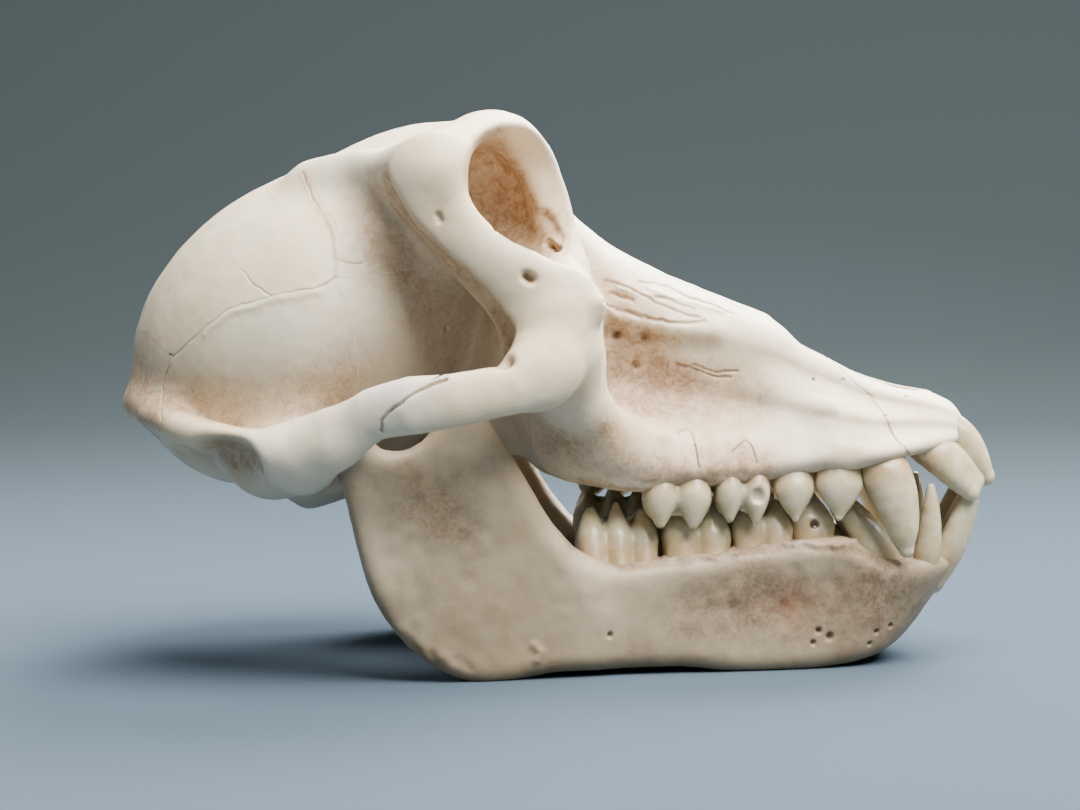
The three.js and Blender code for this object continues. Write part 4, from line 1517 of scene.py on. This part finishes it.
@dataclass
class Cranium:
    """All bones above the jaw: modelled whole, marked, then parted along the sutures."""

    form: CraniumForm
    finish: BoneFinish
    rough_cell: float = 0.8
    fine_cell: float = 0.66
    swell: float = 0.25
    marks: tuple[Mark, ...] = ()
    cuts: tuple[BoneCut, ...] = ()
    rest: tuple[str, str] = ("sphenoid", "sphenoid")
    stains_and_shade: StainsAndShade = StainsAndShade()
    sharp_angle: float = 50.0

    def build(self) -> list[bpy.types.Object]:
        """Model the bones and dress them.

        Returns:
            The pieces.
        """
        nodes = [cut.node for cut in self.cuts] + [self.rest[0]]
        clay = clay_of(nodes, self.swell, (self.form.inner_rim,))
        whole = sculpted(clay, self.form, self.rough_cell, self.fine_cell)
        LOG.info("cranium: %d cells", len(whole.polygons))
        whole, laid_marks = worked(whole, self.form, self.marks)
        material = self.finish.build()
        pieces = []
        for cut in self.cuts:
            tool = cut.tool()
            bone = largest_part(cut_mesh(whole, tool, "INTERSECT"))
            whole = cut_mesh(whole, tool, "DIFFERENCE")
            pieces.append(self.dressed(bone, cut.node, cut.slot, laid_marks, material))
        pieces.append(self.dressed(largest_part(whole), *self.rest, laid_marks, material))
        return pieces

    def dressed(self, bone: bpy.types.Mesh, node: str, slot: str, marks: Sequence[LaidMark],
                material: bpy.types.Material) -> bpy.types.Object:
        """Stain one bone and put it in the scene.

        Args:
            bone: Its mesh.
            node: The CAD node it replaces.
            slot: Its material slot; not used.
            marks: The laid marks.
            material: Its material.

        Returns:
            The piece.
        """
        bone.set_sharp_from_angle(angle=math.radians(self.sharp_angle))
        # Stains, with painted shade in the hollows and in the linings of openings
        self.stains_and_shade.stain_and_shade(bone, self.form, marks, self.form.shaded_lining(places(bone)))
        return dress(node + "_bone", bone, material, node)


@dataclass
class LowerJaw:
    """The mandible, with its nerve holes, stains, painted shade and ragged gum edge."""

    form: JawForm
    finish: BoneFinish
    cell: float = 0.75
    marks: tuple[Mark, ...] = ()
    stains_and_shade: StainsAndShade = StainsAndShade(blotches=0.4)

    def build(self) -> bpy.types.Object:
        """Model the bone and dress it.

        Returns:
            The piece.
        """
        mesh = sculpted(clay_of(["mandible"], 0.0), self.form, self.cell, self.cell)
        mesh, laid_marks = worked(mesh, self.form, self.marks)
        self.stains_and_shade.stain_and_shade(mesh, self.form, laid_marks)
        return dress("mandible_bone", mesh, self.finish.build(), "mandible")


@dataclass(frozen=True)
class Tooth:
    """One tooth: where it grows, how it points and its kind of crown."""

    name: str
    jaw: Jaw
    crown: Crown
    root: tuple[float, float, float]
    tip: tuple[float, float, float]
    half_long: float
    half_wide: float
    turn: float
    lobes: int = 1
    sides: tuple[Side, ...] = (Side.RIGHT, Side.LEFT)
    chips: tuple[tuple[float, float, float, float], ...] = ()
    # How much shade is painted in the chips
    chip_shade: float = 0.0

    CUSP_SHARE: ClassVar[dict[Crown, float]] = {
        Crown.MOLAR: 0.72, Crown.PREMOLAR: 0.76, Crown.CANINE: 1.0, Crown.INCISOR: 1.0,
    }
    CUSP_FILLET: ClassVar[float] = 0.45
    CHIP_FILLET: ClassVar[float] = 0.08
    CHIP_FADE: ClassVar[tuple[float, float]] = (1.25, 0.4)
    CLAY_HALF: ClassVar[float] = 0.78
    CLAY_MIDDLE: ClassVar[float] = 0.26
    RIPPLE: ClassVar[tuple[float, float]] = (0.06, 1.7)

    def axes(self, side: Side) -> tuple[Array, Array, float]:
        """Find the tooth's own axes.

        Args:
            side: Side of the mouth.

        Returns:
            Its root, its axes along the row, across it and along the crown, and the crown's length.
        """
        flip = np.array([1.0, side.value, 1.0])
        root, tip = np.array(self.root) * flip, np.array(self.tip) * flip
        length = float(np.linalg.norm(tip - root))
        up = (tip - root) / length
        angle = math.radians(self.turn)
        row = np.array([math.cos(angle), math.sin(angle) * side.value, 0.0])
        row -= up * (row @ up)
        row /= np.linalg.norm(row)
        outward = np.cross(up, row)
        if outward[1] * side.value < 0:
            outward = -outward
        return root, np.stack([row, outward, up]), length

    def cusps(self) -> list[tuple[tuple[float, float, float, float], ...]]:
        """List the crown's cusps.

        Returns:
            For each, points of place and radius: in lobes along the row, in half widths across it and in
            crown lengths along the crown.
        """
        if self.crown is Crown.CANINE:
            return [((0.0, -0.3, -0.16, 0.72), (0.02, 0.0, 0.06, 0.94), (0.08, 0.1, 0.3, 0.92),
                     (0.1, 0.12, 0.55, 0.76), (0.06, 0.08, 0.78, 0.54), (0.0, 0.0, 0.93, 0.3))]
        if self.crown is Crown.INCISOR:
            return [((side * 0.1, -0.15, -0.25, 0.74), (side * 0.15, 0.06, 0.1, 0.86),
                     (side * 0.24, 0.14, 0.4, 0.8), (side * 0.32, 0.08, 0.7, 0.66),
                     (side * 0.36, 0.0, 0.92, 0.5)) for side in (-1, 1)]
        if self.crown is Crown.PREMOLAR:
            return [((0.0, 0.1, -0.35, 0.82), (0.0, 0.25, 0.08, 1.0), (0.0, 0.34, 0.34, 1.0),
                     (0.0, 0.36, 0.6, 0.72), (0.0, 0.3, 0.92, 0.2)),
                    ((0.0, -0.5, -0.3, 0.7), (0.0, -0.55, 0.2, 0.8), (0.0, -0.5, 0.65, 0.35))]
        found = []
        for lobe in range(self.lobes):
            middle = 2.0 * lobe - (self.lobes - 1)
            for across, top in ((-0.42, 0.78), (0.42, 0.94)):
                found.append(((middle * 0.92, across * 0.8, -0.45, 0.86), (middle * 0.97, across, 0.06, 1.0),
                              (middle * 0.98, across, 0.32, 1.05), (middle * 0.98, across, 0.58, 0.82),
                              (middle * 0.97, across * 0.9, top, 0.24)))
        return found

    def shape(self, side: Side) -> Shape:
        """Make the tooth's field.

        Args:
            side: Side of the mouth.

        Returns:
            The field.
        """
        root, axes, length = self.axes(side)
        lobe = self.half_long / self.lobes
        scale = np.array([lobe, self.half_wide * self.CUSP_SHARE[self.crown], lobe])
        stretch = np.array([1.0, 1.0, length / lobe, 1.0])
        pegs = [Cusp(np.array(cusp) * stretch) for cusp in self.cusps()]
        chips = [(np.array(chip[:3]) * stretch[:3], chip[3]) for chip in self.chips]

        def read(points: Array) -> Array:
            """Read the field at points in mm."""
            local = (points - root) @ axes.T / scale
            value = pegs[0](local)
            for peg in pegs[1:]:
                value = joined(value, peg(local), self.CUSP_FILLET)
            for middle, radius in chips:
                value = carved(value, np.linalg.norm(local - middle, axis=1) - radius, self.CHIP_FILLET)
            return value * min(lobe, self.half_wide)

        return read

    def mesh(self, side: Side, cell: float) -> bpy.types.Mesh:
        """Model the tooth.

        Args:
            side: Side of the mouth.
            cell: Size of its cells in mm.

        Returns:
            Its mesh, with the crown's height and the painted shade of its chips stored on it.
        """
        root, axes, length = self.axes(side)
        bm = bmesh.new()
        bmesh.ops.create_icosphere(bm, subdivisions=4, radius=1.0)
        unit = np.array([vert.co for vert in bm.verts])
        size = np.array([self.half_long, self.half_wide, length * self.CLAY_HALF])
        clay = new_mesh("clay", bm)
        shape = self.shape(side)
        start = root + axes[2] * length * self.CLAY_MIDDLE + (unit * size) @ axes
        place(clay, settle(shape, start, rounds=9))
        mesh = largest_part(remeshed(clay, cell))
        points = settle(shape, places(mesh))
        rise, size = self.RIPPLE
        place(mesh, points + normals(mesh) * (rise * GRAIN(points, size))[:, None])
        set_attribute(mesh, "crown_height", np.clip((points - root) @ axes[2] / length, 0.0, 1.0))
        stretch = np.array([self.half_long / self.lobes, self.half_wide * self.CUSP_SHARE[self.crown], length])
        local = (points - root) @ axes.T / stretch
        # Painted shade in the chips
        dark = np.zeros(len(points))
        for chip in self.chips:
            away = np.linalg.norm((local - chip[:3]) * stretch, axis=1) / (chip[3] * stretch[0])
            dark = np.maximum(dark, self.chip_shade * faded(away, *self.CHIP_FADE))
        set_attribute(mesh, Tint.DARK.value, dark)
        return mesh


@dataclass
class Dentition:
    """All teeth, each a piece of its own on the bone it grows from."""

    finish: EnamelFinish
    teeth: tuple[Tooth, ...]
    cell: float = 0.4

    def build(self) -> list[bpy.types.Object]:
        """Model the teeth and dress them.

        Returns:
            The pieces.
        """
        material = self.finish.build()
        pieces = []
        for tooth in self.teeth:
            for side in tooth.sides:
                where = side.name.lower()
                node = "mandible" if tooth.jaw is Jaw.LOWER else "maxilla_" + where
                if tooth.jaw is Jaw.UPPER and tooth.crown is Crown.INCISOR:
                    node = "premaxilla"
                name = f"{tooth.jaw.value}_{where}_{tooth.name}"
                pieces.append(dress(name, tooth.mesh(side, self.cell), material, node))
        return pieces


def aimed(name: str, data: bpy.types.ID, spot: Sequence[float], aim: Sequence[float]) -> bpy.types.Object:
    """Put a light or a camera in the scene, turned to a point.

    Args:
        name: Its name.
        data: The light or camera.
        spot: Its place in metres.
        aim: The point in metres.

    Returns:
        Its object.
    """
    holder = bpy.data.objects.new(name, data)
    holder.location = spot
    holder.rotation_euler = (Vector(aim) - holder.location).to_track_quat("-Z", "Y").to_euler()
    bpy.context.scene.collection.objects.link(holder)
    return holder


@dataclass(frozen=True)
class Lamp:
    """A soft square light on the skull, in metres and watts, its beam's spread in degrees."""

    name: str
    spot: tuple[float, float, float]
    size: float
    power: float
    shade: Colour
    spread: float = 180.0
    aim: tuple[float, float, float] = (0.0, 0.0, 0.05)

    def build(self) -> None:
        """Hang the light."""
        lamp = bpy.data.lights.new(self.name, "AREA")
        lamp.spread = math.radians(self.spread)
        lamp.size = self.size
        lamp.energy = self.power
        lamp.color = self.shade
        aimed(self.name, lamp, self.spot, self.aim)


@dataclass
class Studio:
    """Floor, soft lights and the camera."""

    finish: FloorFinish
    floor_half: float = 4.0
    floor_cells: int = 60
    sweep_start: float = 0.45
    sweep_radius: float = 0.8
    world: Colour = (0.46, 0.53, 0.58)
    world_strength: float = 0.31
    film_width: float = 36.0
    lamps: tuple[Lamp, ...] = (
        Lamp("key", (0.34, -0.24, 1.0), 1.0, 66.0, (1.0, 0.985, 0.955)),
        Lamp("back", (0.32, 0.6, 0.65), 0.6, 9.0, (1.0, 0.99, 0.97), 75.0),
        Lamp("fill", (-0.3, -1.2, 0.7), 1.3, 1.0, (0.97, 0.98, 1.0)),
    )

    def build(self) -> None:
        """Set up the studio."""
        self.floor()
        for lamp in self.lamps:
            lamp.build()
        world = bpy.data.worlds.new("studio_air")
        world.use_nodes = True
        air = next(node for node in world.node_tree.nodes if node.type == "BACKGROUND")
        air.inputs["Color"].default_value = (*self.world, 1.0)
        air.inputs["Strength"].default_value = self.world_strength
        bpy.context.scene.world = world
        self.camera()

    def floor(self) -> None:
        """Lay the floor, bent upwards behind the skull."""
        bm = bmesh.new()
        cells = self.floor_cells
        bmesh.ops.create_grid(bm, x_segments=cells, y_segments=cells, size=self.floor_half)
        for vert in bm.verts:
            rise = vert.co.y - self.sweep_start
            if rise > 0.0:
                angle = min(rise / self.sweep_radius, math.pi / 2)
                past = rise - angle * self.sweep_radius
                vert.co.y = self.sweep_start + self.sweep_radius * math.sin(angle)
                vert.co.z = self.sweep_radius * (1.0 - math.cos(angle)) + past
        floor = bpy.data.objects.new("studio_floor", new_mesh("studio_floor", bm))
        floor.data.materials.append(self.finish.build())
        floor.data.shade_smooth()
        bpy.context.scene.collection.objects.link(floor)

    def camera(self) -> None:
        """Set up the camera at the picture's angle."""
        data = bpy.data.cameras.new("camera")
        data.sensor_width = self.film_width
        data.lens = FOCAL_PIXELS * self.film_width / PICTURE[0]
        bpy.context.scene.camera = aimed("camera", data, EYE * MM, AIM * MM)


# Teeth in mm: root, tip, half length along the row, half width across it, turn in degrees, lobes
UPPER_TEETH = (
    Tooth("molar_3", Jaw.UPPER, Crown.MOLAR, (9.8, 21.8, 36), (9.6, 25.2, 27.6), 6, 4, 4, 2, (Side.LEFT,)),
    Tooth("molar_2", Jaw.UPPER, Crown.MOLAR, (22.6, 21.3, 35.8), (22.4, 24.6, 27), 6.5, 4.3, -3, 2),
    Tooth("molar_1", Jaw.UPPER, Crown.MOLAR, (35.1, 20.2, 36.2), (35, 23.2, 28), 5.2, 4.1, -8, 2, (Side.LEFT,)),
    Tooth("molar_1", Jaw.UPPER, Crown.MOLAR, (35.1, 20.2, 36.2), (35, 23.2, 28), 5.2, 4.1, -8, 2, (Side.RIGHT,),
          ((0.95, 1.75, 0.45, 0.75), (0.12, 1.3, 0.85, 0.5)), 0.25),
    Tooth("premolar_4", Jaw.UPPER, Crown.PREMOLAR, (44.9, 18.8, 37.2), (45.3, 21.4, 28.4), 3.9, 3.8, -8),
    Tooth("premolar_3", Jaw.UPPER, Crown.PREMOLAR, (53.9, 18.2, 38.2), (53.8, 20.6, 28.6), 4.5, 3.6, -8),
    Tooth("canine", Jaw.UPPER, Crown.CANINE, (62.6, 17.6, 39.2), (67.4, 19.4, 21.7), 5.2, 3.7, -12),
    Tooth("incisor_2", Jaw.UPPER, Crown.INCISOR, (73, 10.4, 41.6), (81.8, 8.8, 33.9), 4.4, 3.2, -38),
    Tooth("incisor_1", Jaw.UPPER, Crown.INCISOR, (78, 4.3, 44.8), (84.9, 4.15, 35.2), 3.8, 3.6, -82),
)
LOWER_TEETH = (
    Tooth("molar_3", Jaw.LOWER, Crown.MOLAR, (11.2, 21.8, 21.6), (10.8, 16.6, 31.5), 7.9, 3.8, -10, 3),
    Tooth("molar_2", Jaw.LOWER, Crown.MOLAR, (26.5, 20.3, 22.2), (26.4, 16, 32), 6.5, 3.8, -8, 2),
    Tooth("molar_1", Jaw.LOWER, Crown.MOLAR, (39.2, 18.2, 23.8), (39.2, 14.2, 32.4), 5.9, 3.6, -8, 2),
    Tooth("premolar_4", Jaw.LOWER, Crown.PREMOLAR, (49.1, 16.7, 25), (49.1, 13.6, 33.4), 4.2, 3.4, -12, 1,
          (Side.RIGHT, Side.LEFT), ((-0.1, 1.35, 0.2, 0.24),), 1.0),
    Tooth("premolar_3", Jaw.LOWER, Crown.CANINE, (64.6, 13.6, 18.4), (54.2, 12.6, 32), 4.6, 3.2, -22),
    Tooth("canine", Jaw.LOWER, Crown.CANINE, (71.6, 12.3, 18.2), (72.6, 12.9, 35.6), 2.7, 2.7, -30),
    Tooth("incisor_2", Jaw.LOWER, Crown.INCISOR, (75.4, 7.8, 18.8), (81.2, 7.5, 32.2), 3.4, 2.8, -50),
    Tooth("incisor_1", Jaw.LOWER, Crown.INCISOR, (76.2, 2.95, 19.6), (82, 2.85, 32.8), 2.6, 2.6, -86),
)

# Outlines of the bones from the side, in mm
CHEEK_OUTLINE = (
    (14, 42), (14, 82), (-6, 88), (-18.5, 92.3), (-22.2, 88.9), (-27.5, 87.9), (-26.5, 83), (-18, 74),
    (-13.5, 66), (-14, 61.5), (-20.9, 59.5), (-26.2, 55.5), (-30.6, 52.5), (-33, 50.2), (-33.2, 42),
)
ARCH_REAR_OUTLINE = (
    (-33.2, 40), (-33, 50.2), (-30.6, 52.5), (-26.2, 55.5), (-20.9, 59.5), (-24, 64), (-46, 62),
    (-50, 36), (-40, 32),
)
TEMPLE_OUTLINE = SQUAMOSAL + ((-76.2, 54), (-77.5, 46), (-76, 24), (-38, 24), (-38, 62), (-41.5, 75.4))
OCCIPUT_OUTLINE = LAMBDOID[::-1] + ((-74, 60.4), (-60, 50), (-40, 48), (-38, 22), (-98, 22))
CROWN_OUTLINE = CORONAL + SQUAMOSAL + LAMBDOID + ((-98, 112),)
BROW_OUTLINE = CORONAL + ((-30, 77), (-16, 80), (-5, 84), (1.2, 88.9), (8, 95), (8, 112))
SNOUT_OUTLINE = (
    (45.5, 76), (48, 66), (52.6, 60), (58.2, 54.2), (62.9, 48.8), (67, 43.5), (68.6, 38), (69, 26),
    (96, 26), (96, 76),
)
MUZZLE_OUTLINE = (
    (-5, 84), (1.2, 88.9), (8, 95), (90, 95), (90, 26), (-5, 26), (-6, 50), (-8, 60), (-8, 76),
)
NASAL_OUTLINE = (
    (1.4, 83), (7, 78), (13, 74), (20, 70.4), (28, 67.1), (36, 64), (43.7, 60.8), (47, 59), (47, 72),
    (36, 78), (20, 84), (1.4, 97),
)


def sided(outline: Outline, inner: float, side: Side) -> Block:
    """Make a block on one side only, from an inner distance outwards."""
    return Block(outline, inner, BEYOND) if side is Side.LEFT else Block(outline, -BEYOND, -inner)


def paired(name: str, parts: Sequence[tuple[Outline, float]]) -> tuple[BoneCut, BoneCut]:
    """Cut a bone of either side.

    Args:
        name: Name of the bone.
        parts: Outlines of its blocks with their inner distances.

    Returns:
        The left and the right cut.
    """
    left, right = (
        BoneCut(f"{name}_{side.name.lower()}", name, tuple(sided(*part, side) for part in parts))
        for side in (Side.LEFT, Side.RIGHT)
    )
    return left, right


CUTS = (
    *paired("zygomatic", ((CHEEK_OUTLINE, 31),)),
    *paired("temporal", ((TEMPLE_OUTLINE, 17), (ARCH_REAR_OUTLINE, 39))),
    BoneCut("occipital", "occipital", (Block(OCCIPUT_OUTLINE),)),
    *paired("parietal", ((CROWN_OUTLINE, 0),)),
    BoneCut("nasal", "nasal", (Block(NASAL_OUTLINE, -4.6, 4.6),)),
    BoneCut("premaxilla", "premaxilla", (Block(SNOUT_OUTLINE),)),
    BoneCut("frontal", "frontal", (Block(BROW_OUTLINE),)),
    *paired("maxilla", ((MUZZLE_OUTLINE, 0),)),
)

# Marks by their path in the picture, width and depth in mm, staining or painted shade, its strength and its
# spread in mm
CRANIUM_MARKS = (
    Mark(((302, 172), (314, 201), (332, 231), (335, 254), (336, 278)), 0.25, 0.13, Tint.TAN, 0.35, 0.5),
    Mark(((336, 278), (317, 289), (276, 295), (253, 302), (226, 310), (203, 330), (173, 357)), 0.25, 0.14,
         Tint.TAN, 0.3, 0.45),
    Mark(((318, 292), (277, 299), (254, 306), (228, 314), (205, 334)), 0.8, -0.22),
    Mark(((304, 176), (312, 196), (322, 215)), 1.5, 0.0, Tint.RUST, 0.22, 1.4),
    Mark(((241, 269), (253, 284), (270, 295)), 0.22, 0.12, Tint.TAN, 0.3, 0.4),
    Mark(((338, 259), (352, 264), (364, 263)), 0.22, 0.12, Tint.TAN, 0.3, 0.4),
    Mark(((173, 357), (163, 383), (159, 442)), 0.25, 0.14, Tint.TAN, 0.3, 0.45),
    # A crack, with painted shade in it
    Mark(((446, 379), (417, 392), (405, 400), (393, 408), (381, 421), (380, 432)), 0.28, 0.7,
         Tint.DARK, 0.75, 0.35),
    Mark(((827, 355), (858, 386), (870, 396), (884, 415)), 0.25, 0.14, Tint.TAN, 0.45, 0.5),
    # Painted shade in the crack
    Mark(((884, 415), (896, 441), (904, 447), (909, 455), (914, 462)), 0.2, 0.3, Tint.DARK, 0.45, 0.3),
    # Painted shade in a small crack
    Mark(((695, 445), (697, 455), (699, 467)), 0.16, 0.3, Tint.DARK, 0.6, 0.2, False, 0.5),
    Mark(((678, 434), (682, 430), (687, 429), (692, 433), (695, 445)), 0.18, 0.18,
         Tint.RUST, 0.6, 0.35, False, 0.5),
    # Painted shade in a small crack
    Mark(((733, 450), (739, 445), (745, 441), (751, 446), (755, 454), (757, 463)), 0.16, 0.25,
         Tint.DARK, 0.45, 0.22, False, 0.6),
    Mark(((677, 364), (700, 371), (717, 377), (729, 378)), 0.28, 0.3, Tint.RUST, 0.5, 0.45),
    Mark(((694, 365), (714, 372), (738, 371)), 0.28, 0.26, Tint.RUST, 0.4, 0.45),
    Mark(((611, 294), (622, 297), (632, 301)), 0.4, 0.4, Tint.TAN, 0.7, 0.6),
    Mark(((606, 281), (628, 287), (655, 302), (676, 311), (698, 318)), 0.35, 0.3, Tint.TAN, 0.5, 0.6),
    Mark(((640, 281), (667, 286), (690, 297), (710, 304), (733, 313)), 0.35, 0.32, Tint.TAN, 0.5, 0.6),
    Mark(((629, 312), (655, 320), (684, 324), (705, 322)), 0.4, 0.35, Tint.TAN, 0.6, 0.7),
    Mark(((655, 296), (675, 302), (695, 309)), 0.3, 0.26, Tint.TAN, 0.5, 0.5),
    Mark(((600, 303), (619, 311), (640, 317)), 0.4, 0.3, Tint.TAN, 0.5, 0.6),
    Mark(((690, 285), (720, 298), (745, 309)), 0.3, 0.22, Tint.TAN, 0.4, 0.5),
    Mark(((618, 288), (650, 297)), 0.6, -0.2),
    Mark(((650, 290), (690, 303), (722, 312)), 0.7, -0.24),
    Mark(((600, 305), (618, 319), (640, 328), (675, 334), (715, 332)), 2.2, -0.9),
    # Pits with painted shade in them
    Mark(((605, 336),), 0.9, 2.2, Tint.DARK, 0.75, 0.9),
    Mark(((618, 336),), 0.75, 1.8, Tint.DARK, 0.65, 0.8),
    Mark(((645, 337),), 0.85, 1.8, Tint.DARK, 0.7, 0.8),
    Mark(((603, 356),), 0.6, 1.2, Tint.DARK, 0.6, 0.6),
    Mark(((636, 366),), 0.7, 0.9, Tint.DARK, 0.6, 0.7),
    # Holes with painted shade in them
    Mark(((527, 276), (531, 279)), 0.85, 2.2, Tint.DARK, 0.6, 0.7),
    Mark(((438, 215), (440, 220)), 0.6, 1.0, Tint.DARK, 0.5, 0.5),
    Mark(((547, 243), (553, 246), (558, 247)), 0.7, 2.5, Tint.DARK, 0.85, 0.8),
    Mark(((546, 216), (553, 228), (561, 238)), 1.2, 0.8, Tint.TAN, 0.7, 1.6),
    # Pits and a hole with painted shade in them
    Mark(((886, 415),), 0.35, 0.4, Tint.DARK, 0.5, 0.4),
    Mark(((906, 396),), 0.35, 0.4, Tint.DARK, 0.5, 0.4),
    Mark(((505, 361),), 1.4, 2.5, Tint.DARK, 0.85, 1.4),
    Mark(((447, 329),), 0.5, 0.6, Tint.DARK, 0.4, 0.5),
    Mark(((205, 455), (222, 452), (245, 458)), 5.0, 0.5, Tint.TAN, 0.7, 6.0),
    # Staining with painted shade in the muzzle's hollow
    Mark(((625, 375), (655, 395), (700, 400), (740, 395)), 9.0, 0.0, Tint.TAN, 0.7, 9.0),
    Mark(((655, 350), (700, 360)), 6.0, 0.0, Tint.TAN, 0.4, 7.0),
    Mark(((790, 420), (830, 430), (860, 445)), 9.0, 0.0, Tint.TAN, 0.3, 9.0),
    # Painted shade along the face above the teeth, turned down from the light
    Mark(((560, 445), (600, 455), (640, 462), (700, 468), (760, 466)), 4.0, 0.0, Tint.TAN, 0.6, 5.5),
    Mark(((600, 331), (630, 335), (665, 340), (705, 347)), 2.2, 0.8, Tint.TAN, 0.35, 3.0),
    Mark(((686, 434), (688, 470)), 1.5, -0.45),
    Mark(((715, 436), (717, 470)), 1.5, -0.3),
    Mark(((746, 440), (748, 470)), 1.6, -0.4),
    Mark(((850, 462), (835, 425), (822, 398)), 4.0, -0.7),
    Mark(((667, 445), (670, 458)), 1.8, 0.0, Tint.RUST, 0.55, 2.2, False),
    Mark(((728, 450), (738, 455), (748, 458)), 1.8, 0.0, Tint.RUST, 0.55, 2.2, False),
    Mark(((703, 452), (735, 455), (761, 458)), 2.2, 0.0, Tint.RUST, 0.5, 2.2, False),
    Mark(((400, 390),), 6.0, 0.0, Tint.CHALK, 0.8, 6.0),
    # Painted shade at the back of the skull
    Mark(((135, 370), (140, 405), (152, 440)), 8.0, 0.0, Tint.TAN, 0.8, 10.0),
    Mark(((585, 482), (640, 488), (690, 487), (740, 480), (790, 480), (850, 480)), 0.9, -0.35,
         Tint.TAN, 0.75, 1.6),
    # Painted shade on the face under the cheek, turned down from the light
    Mark(((610, 432), (640, 450), (665, 462)), 4.0, 0.0, Tint.TAN, 0.9, 6.5),
    Mark(((440, 205), (436, 214), (446, 222)), 1.6, 0.15, Tint.TAN, 0.35, 2.2),
    # Pits with painted shade in them
    Mark(((843, 380),), 0.35, 0.4, Tint.DARK, 0.5, 0.4),
    Mark(((813, 380),), 0.35, 0.4, Tint.DARK, 0.5, 0.4),
)
JAW_MARKS = (
    # Nerve holes with painted shade in them
    Mark(((819, 631),), 0.5, 1.2, Tint.DARK, 0.8, 0.5),
    Mark(((830, 637),), 0.6, 1.4, Tint.DARK, 0.85, 0.6),
    Mark(((813, 643),), 0.45, 0.9, Tint.DARK, 0.6, 0.45),
    Mark(((877, 632),), 0.4, 0.8, Tint.DARK, 0.7, 0.4),
    Mark(((891, 626),), 0.4, 0.8, Tint.DARK, 0.7, 0.4),
    Mark(((870, 644),), 0.4, 0.7, Tint.DARK, 0.6, 0.4),
    Mark(((610, 635),), 0.5, 0.7, Tint.DARK, 0.75, 0.55),
    Mark(((792, 604),), 4.0, 0.2, Tint.RUST, 0.6, 4.0, False),
    Mark(((788, 622),), 3.5, 0.0, Tint.TAN, 0.7, 3.5, False),
    Mark(((566, 536), (580, 546), (605, 557), (634, 565), (657, 559), (678, 558), (716, 556), (737, 546),
          (766, 542), (813, 544), (833, 546), (855, 541), (878, 550), (901, 566)), 0.8, -0.45,
         Tint.TAN, 0.6, 1.0, True, 2.2),
    Mark(((570, 545), (620, 567), (680, 562), (740, 551), (800, 547), (850, 549), (890, 566)), 1.0, 0.25,
         Tint.TAN, 0.85, 2.0),
    Mark(((409, 642), (418, 650)), 1.0, 0.2, Tint.TAN, 0.4, 0.9),
    Mark(((420, 648), (427, 659)), 1.1, -0.22, Tint.TAN, 0.3, 0.9),
    Mark(((432, 654), (437, 664)), 1.0, 0.2, Tint.TAN, 0.4, 0.9),
    Mark(((445, 659), (450, 668)), 1.1, -0.22, Tint.TAN, 0.3, 0.9),
    Mark(((458, 661), (470, 668)), 1.0, 0.2, Tint.TAN, 0.4, 0.9),
    Mark(((533, 645), (541, 652), (538, 660)), 0.8, -0.35),
    Mark(((390, 560), (400, 600), (425, 632)), 6.0, 0.5),
    # A hollow on the ramus, with painted shade where the arch shades it
    Mark(((430, 470), (440, 520), (470, 560)), 7.0, 0.6, Tint.TAN, 0.35, 8.0),
    Mark(((350, 500), (362, 545), (385, 590)), 3.0, -0.5),
    Mark(((560, 560), (575, 590), (590, 610)), 5.0, -0.5),
    # A hollow with painted shade on the jaw's lower side
    Mark(((700, 605), (760, 603), (830, 600)), 7.0, 0.6, Tint.TAN, 0.7, 11.0),
    # Painted shade under the chin
    Mark(((870, 590), (889, 595), (905, 605)), 4.0, 0.2, Tint.TAN, 0.9, 9.0),
    Mark(((470, 625), (490, 600), (500, 575)), 4.0, -0.35),
)

# The jaw's bone: the cranium's finish darkened, as painted shade for the jaw lying lower, under the cranium
SHADED_JAW_FINISH = BoneFinish(
    "shaded_jaw_bone", cream=(0.35, 0.265, 0.16), ivory=(0.44, 0.355, 0.235), tan=(0.19, 0.12, 0.066),
)


def main() -> None:
    """Build the skull and its studio."""
    logging.basicConfig(level=logging.INFO, format="%(name)s %(message)s")
    jaw_form = JawForm()
    Cranium(CraniumForm(jaw_form), BoneFinish("cranium_bone"), marks=CRANIUM_MARKS, cuts=CUTS).build()
    LowerJaw(jaw_form, SHADED_JAW_FINISH, marks=JAW_MARKS).build()
    Dentition(EnamelFinish(), UPPER_TEETH + LOWER_TEETH).build()
    Studio(FloorFinish()).build()


if __name__ == "__main__":
    main()
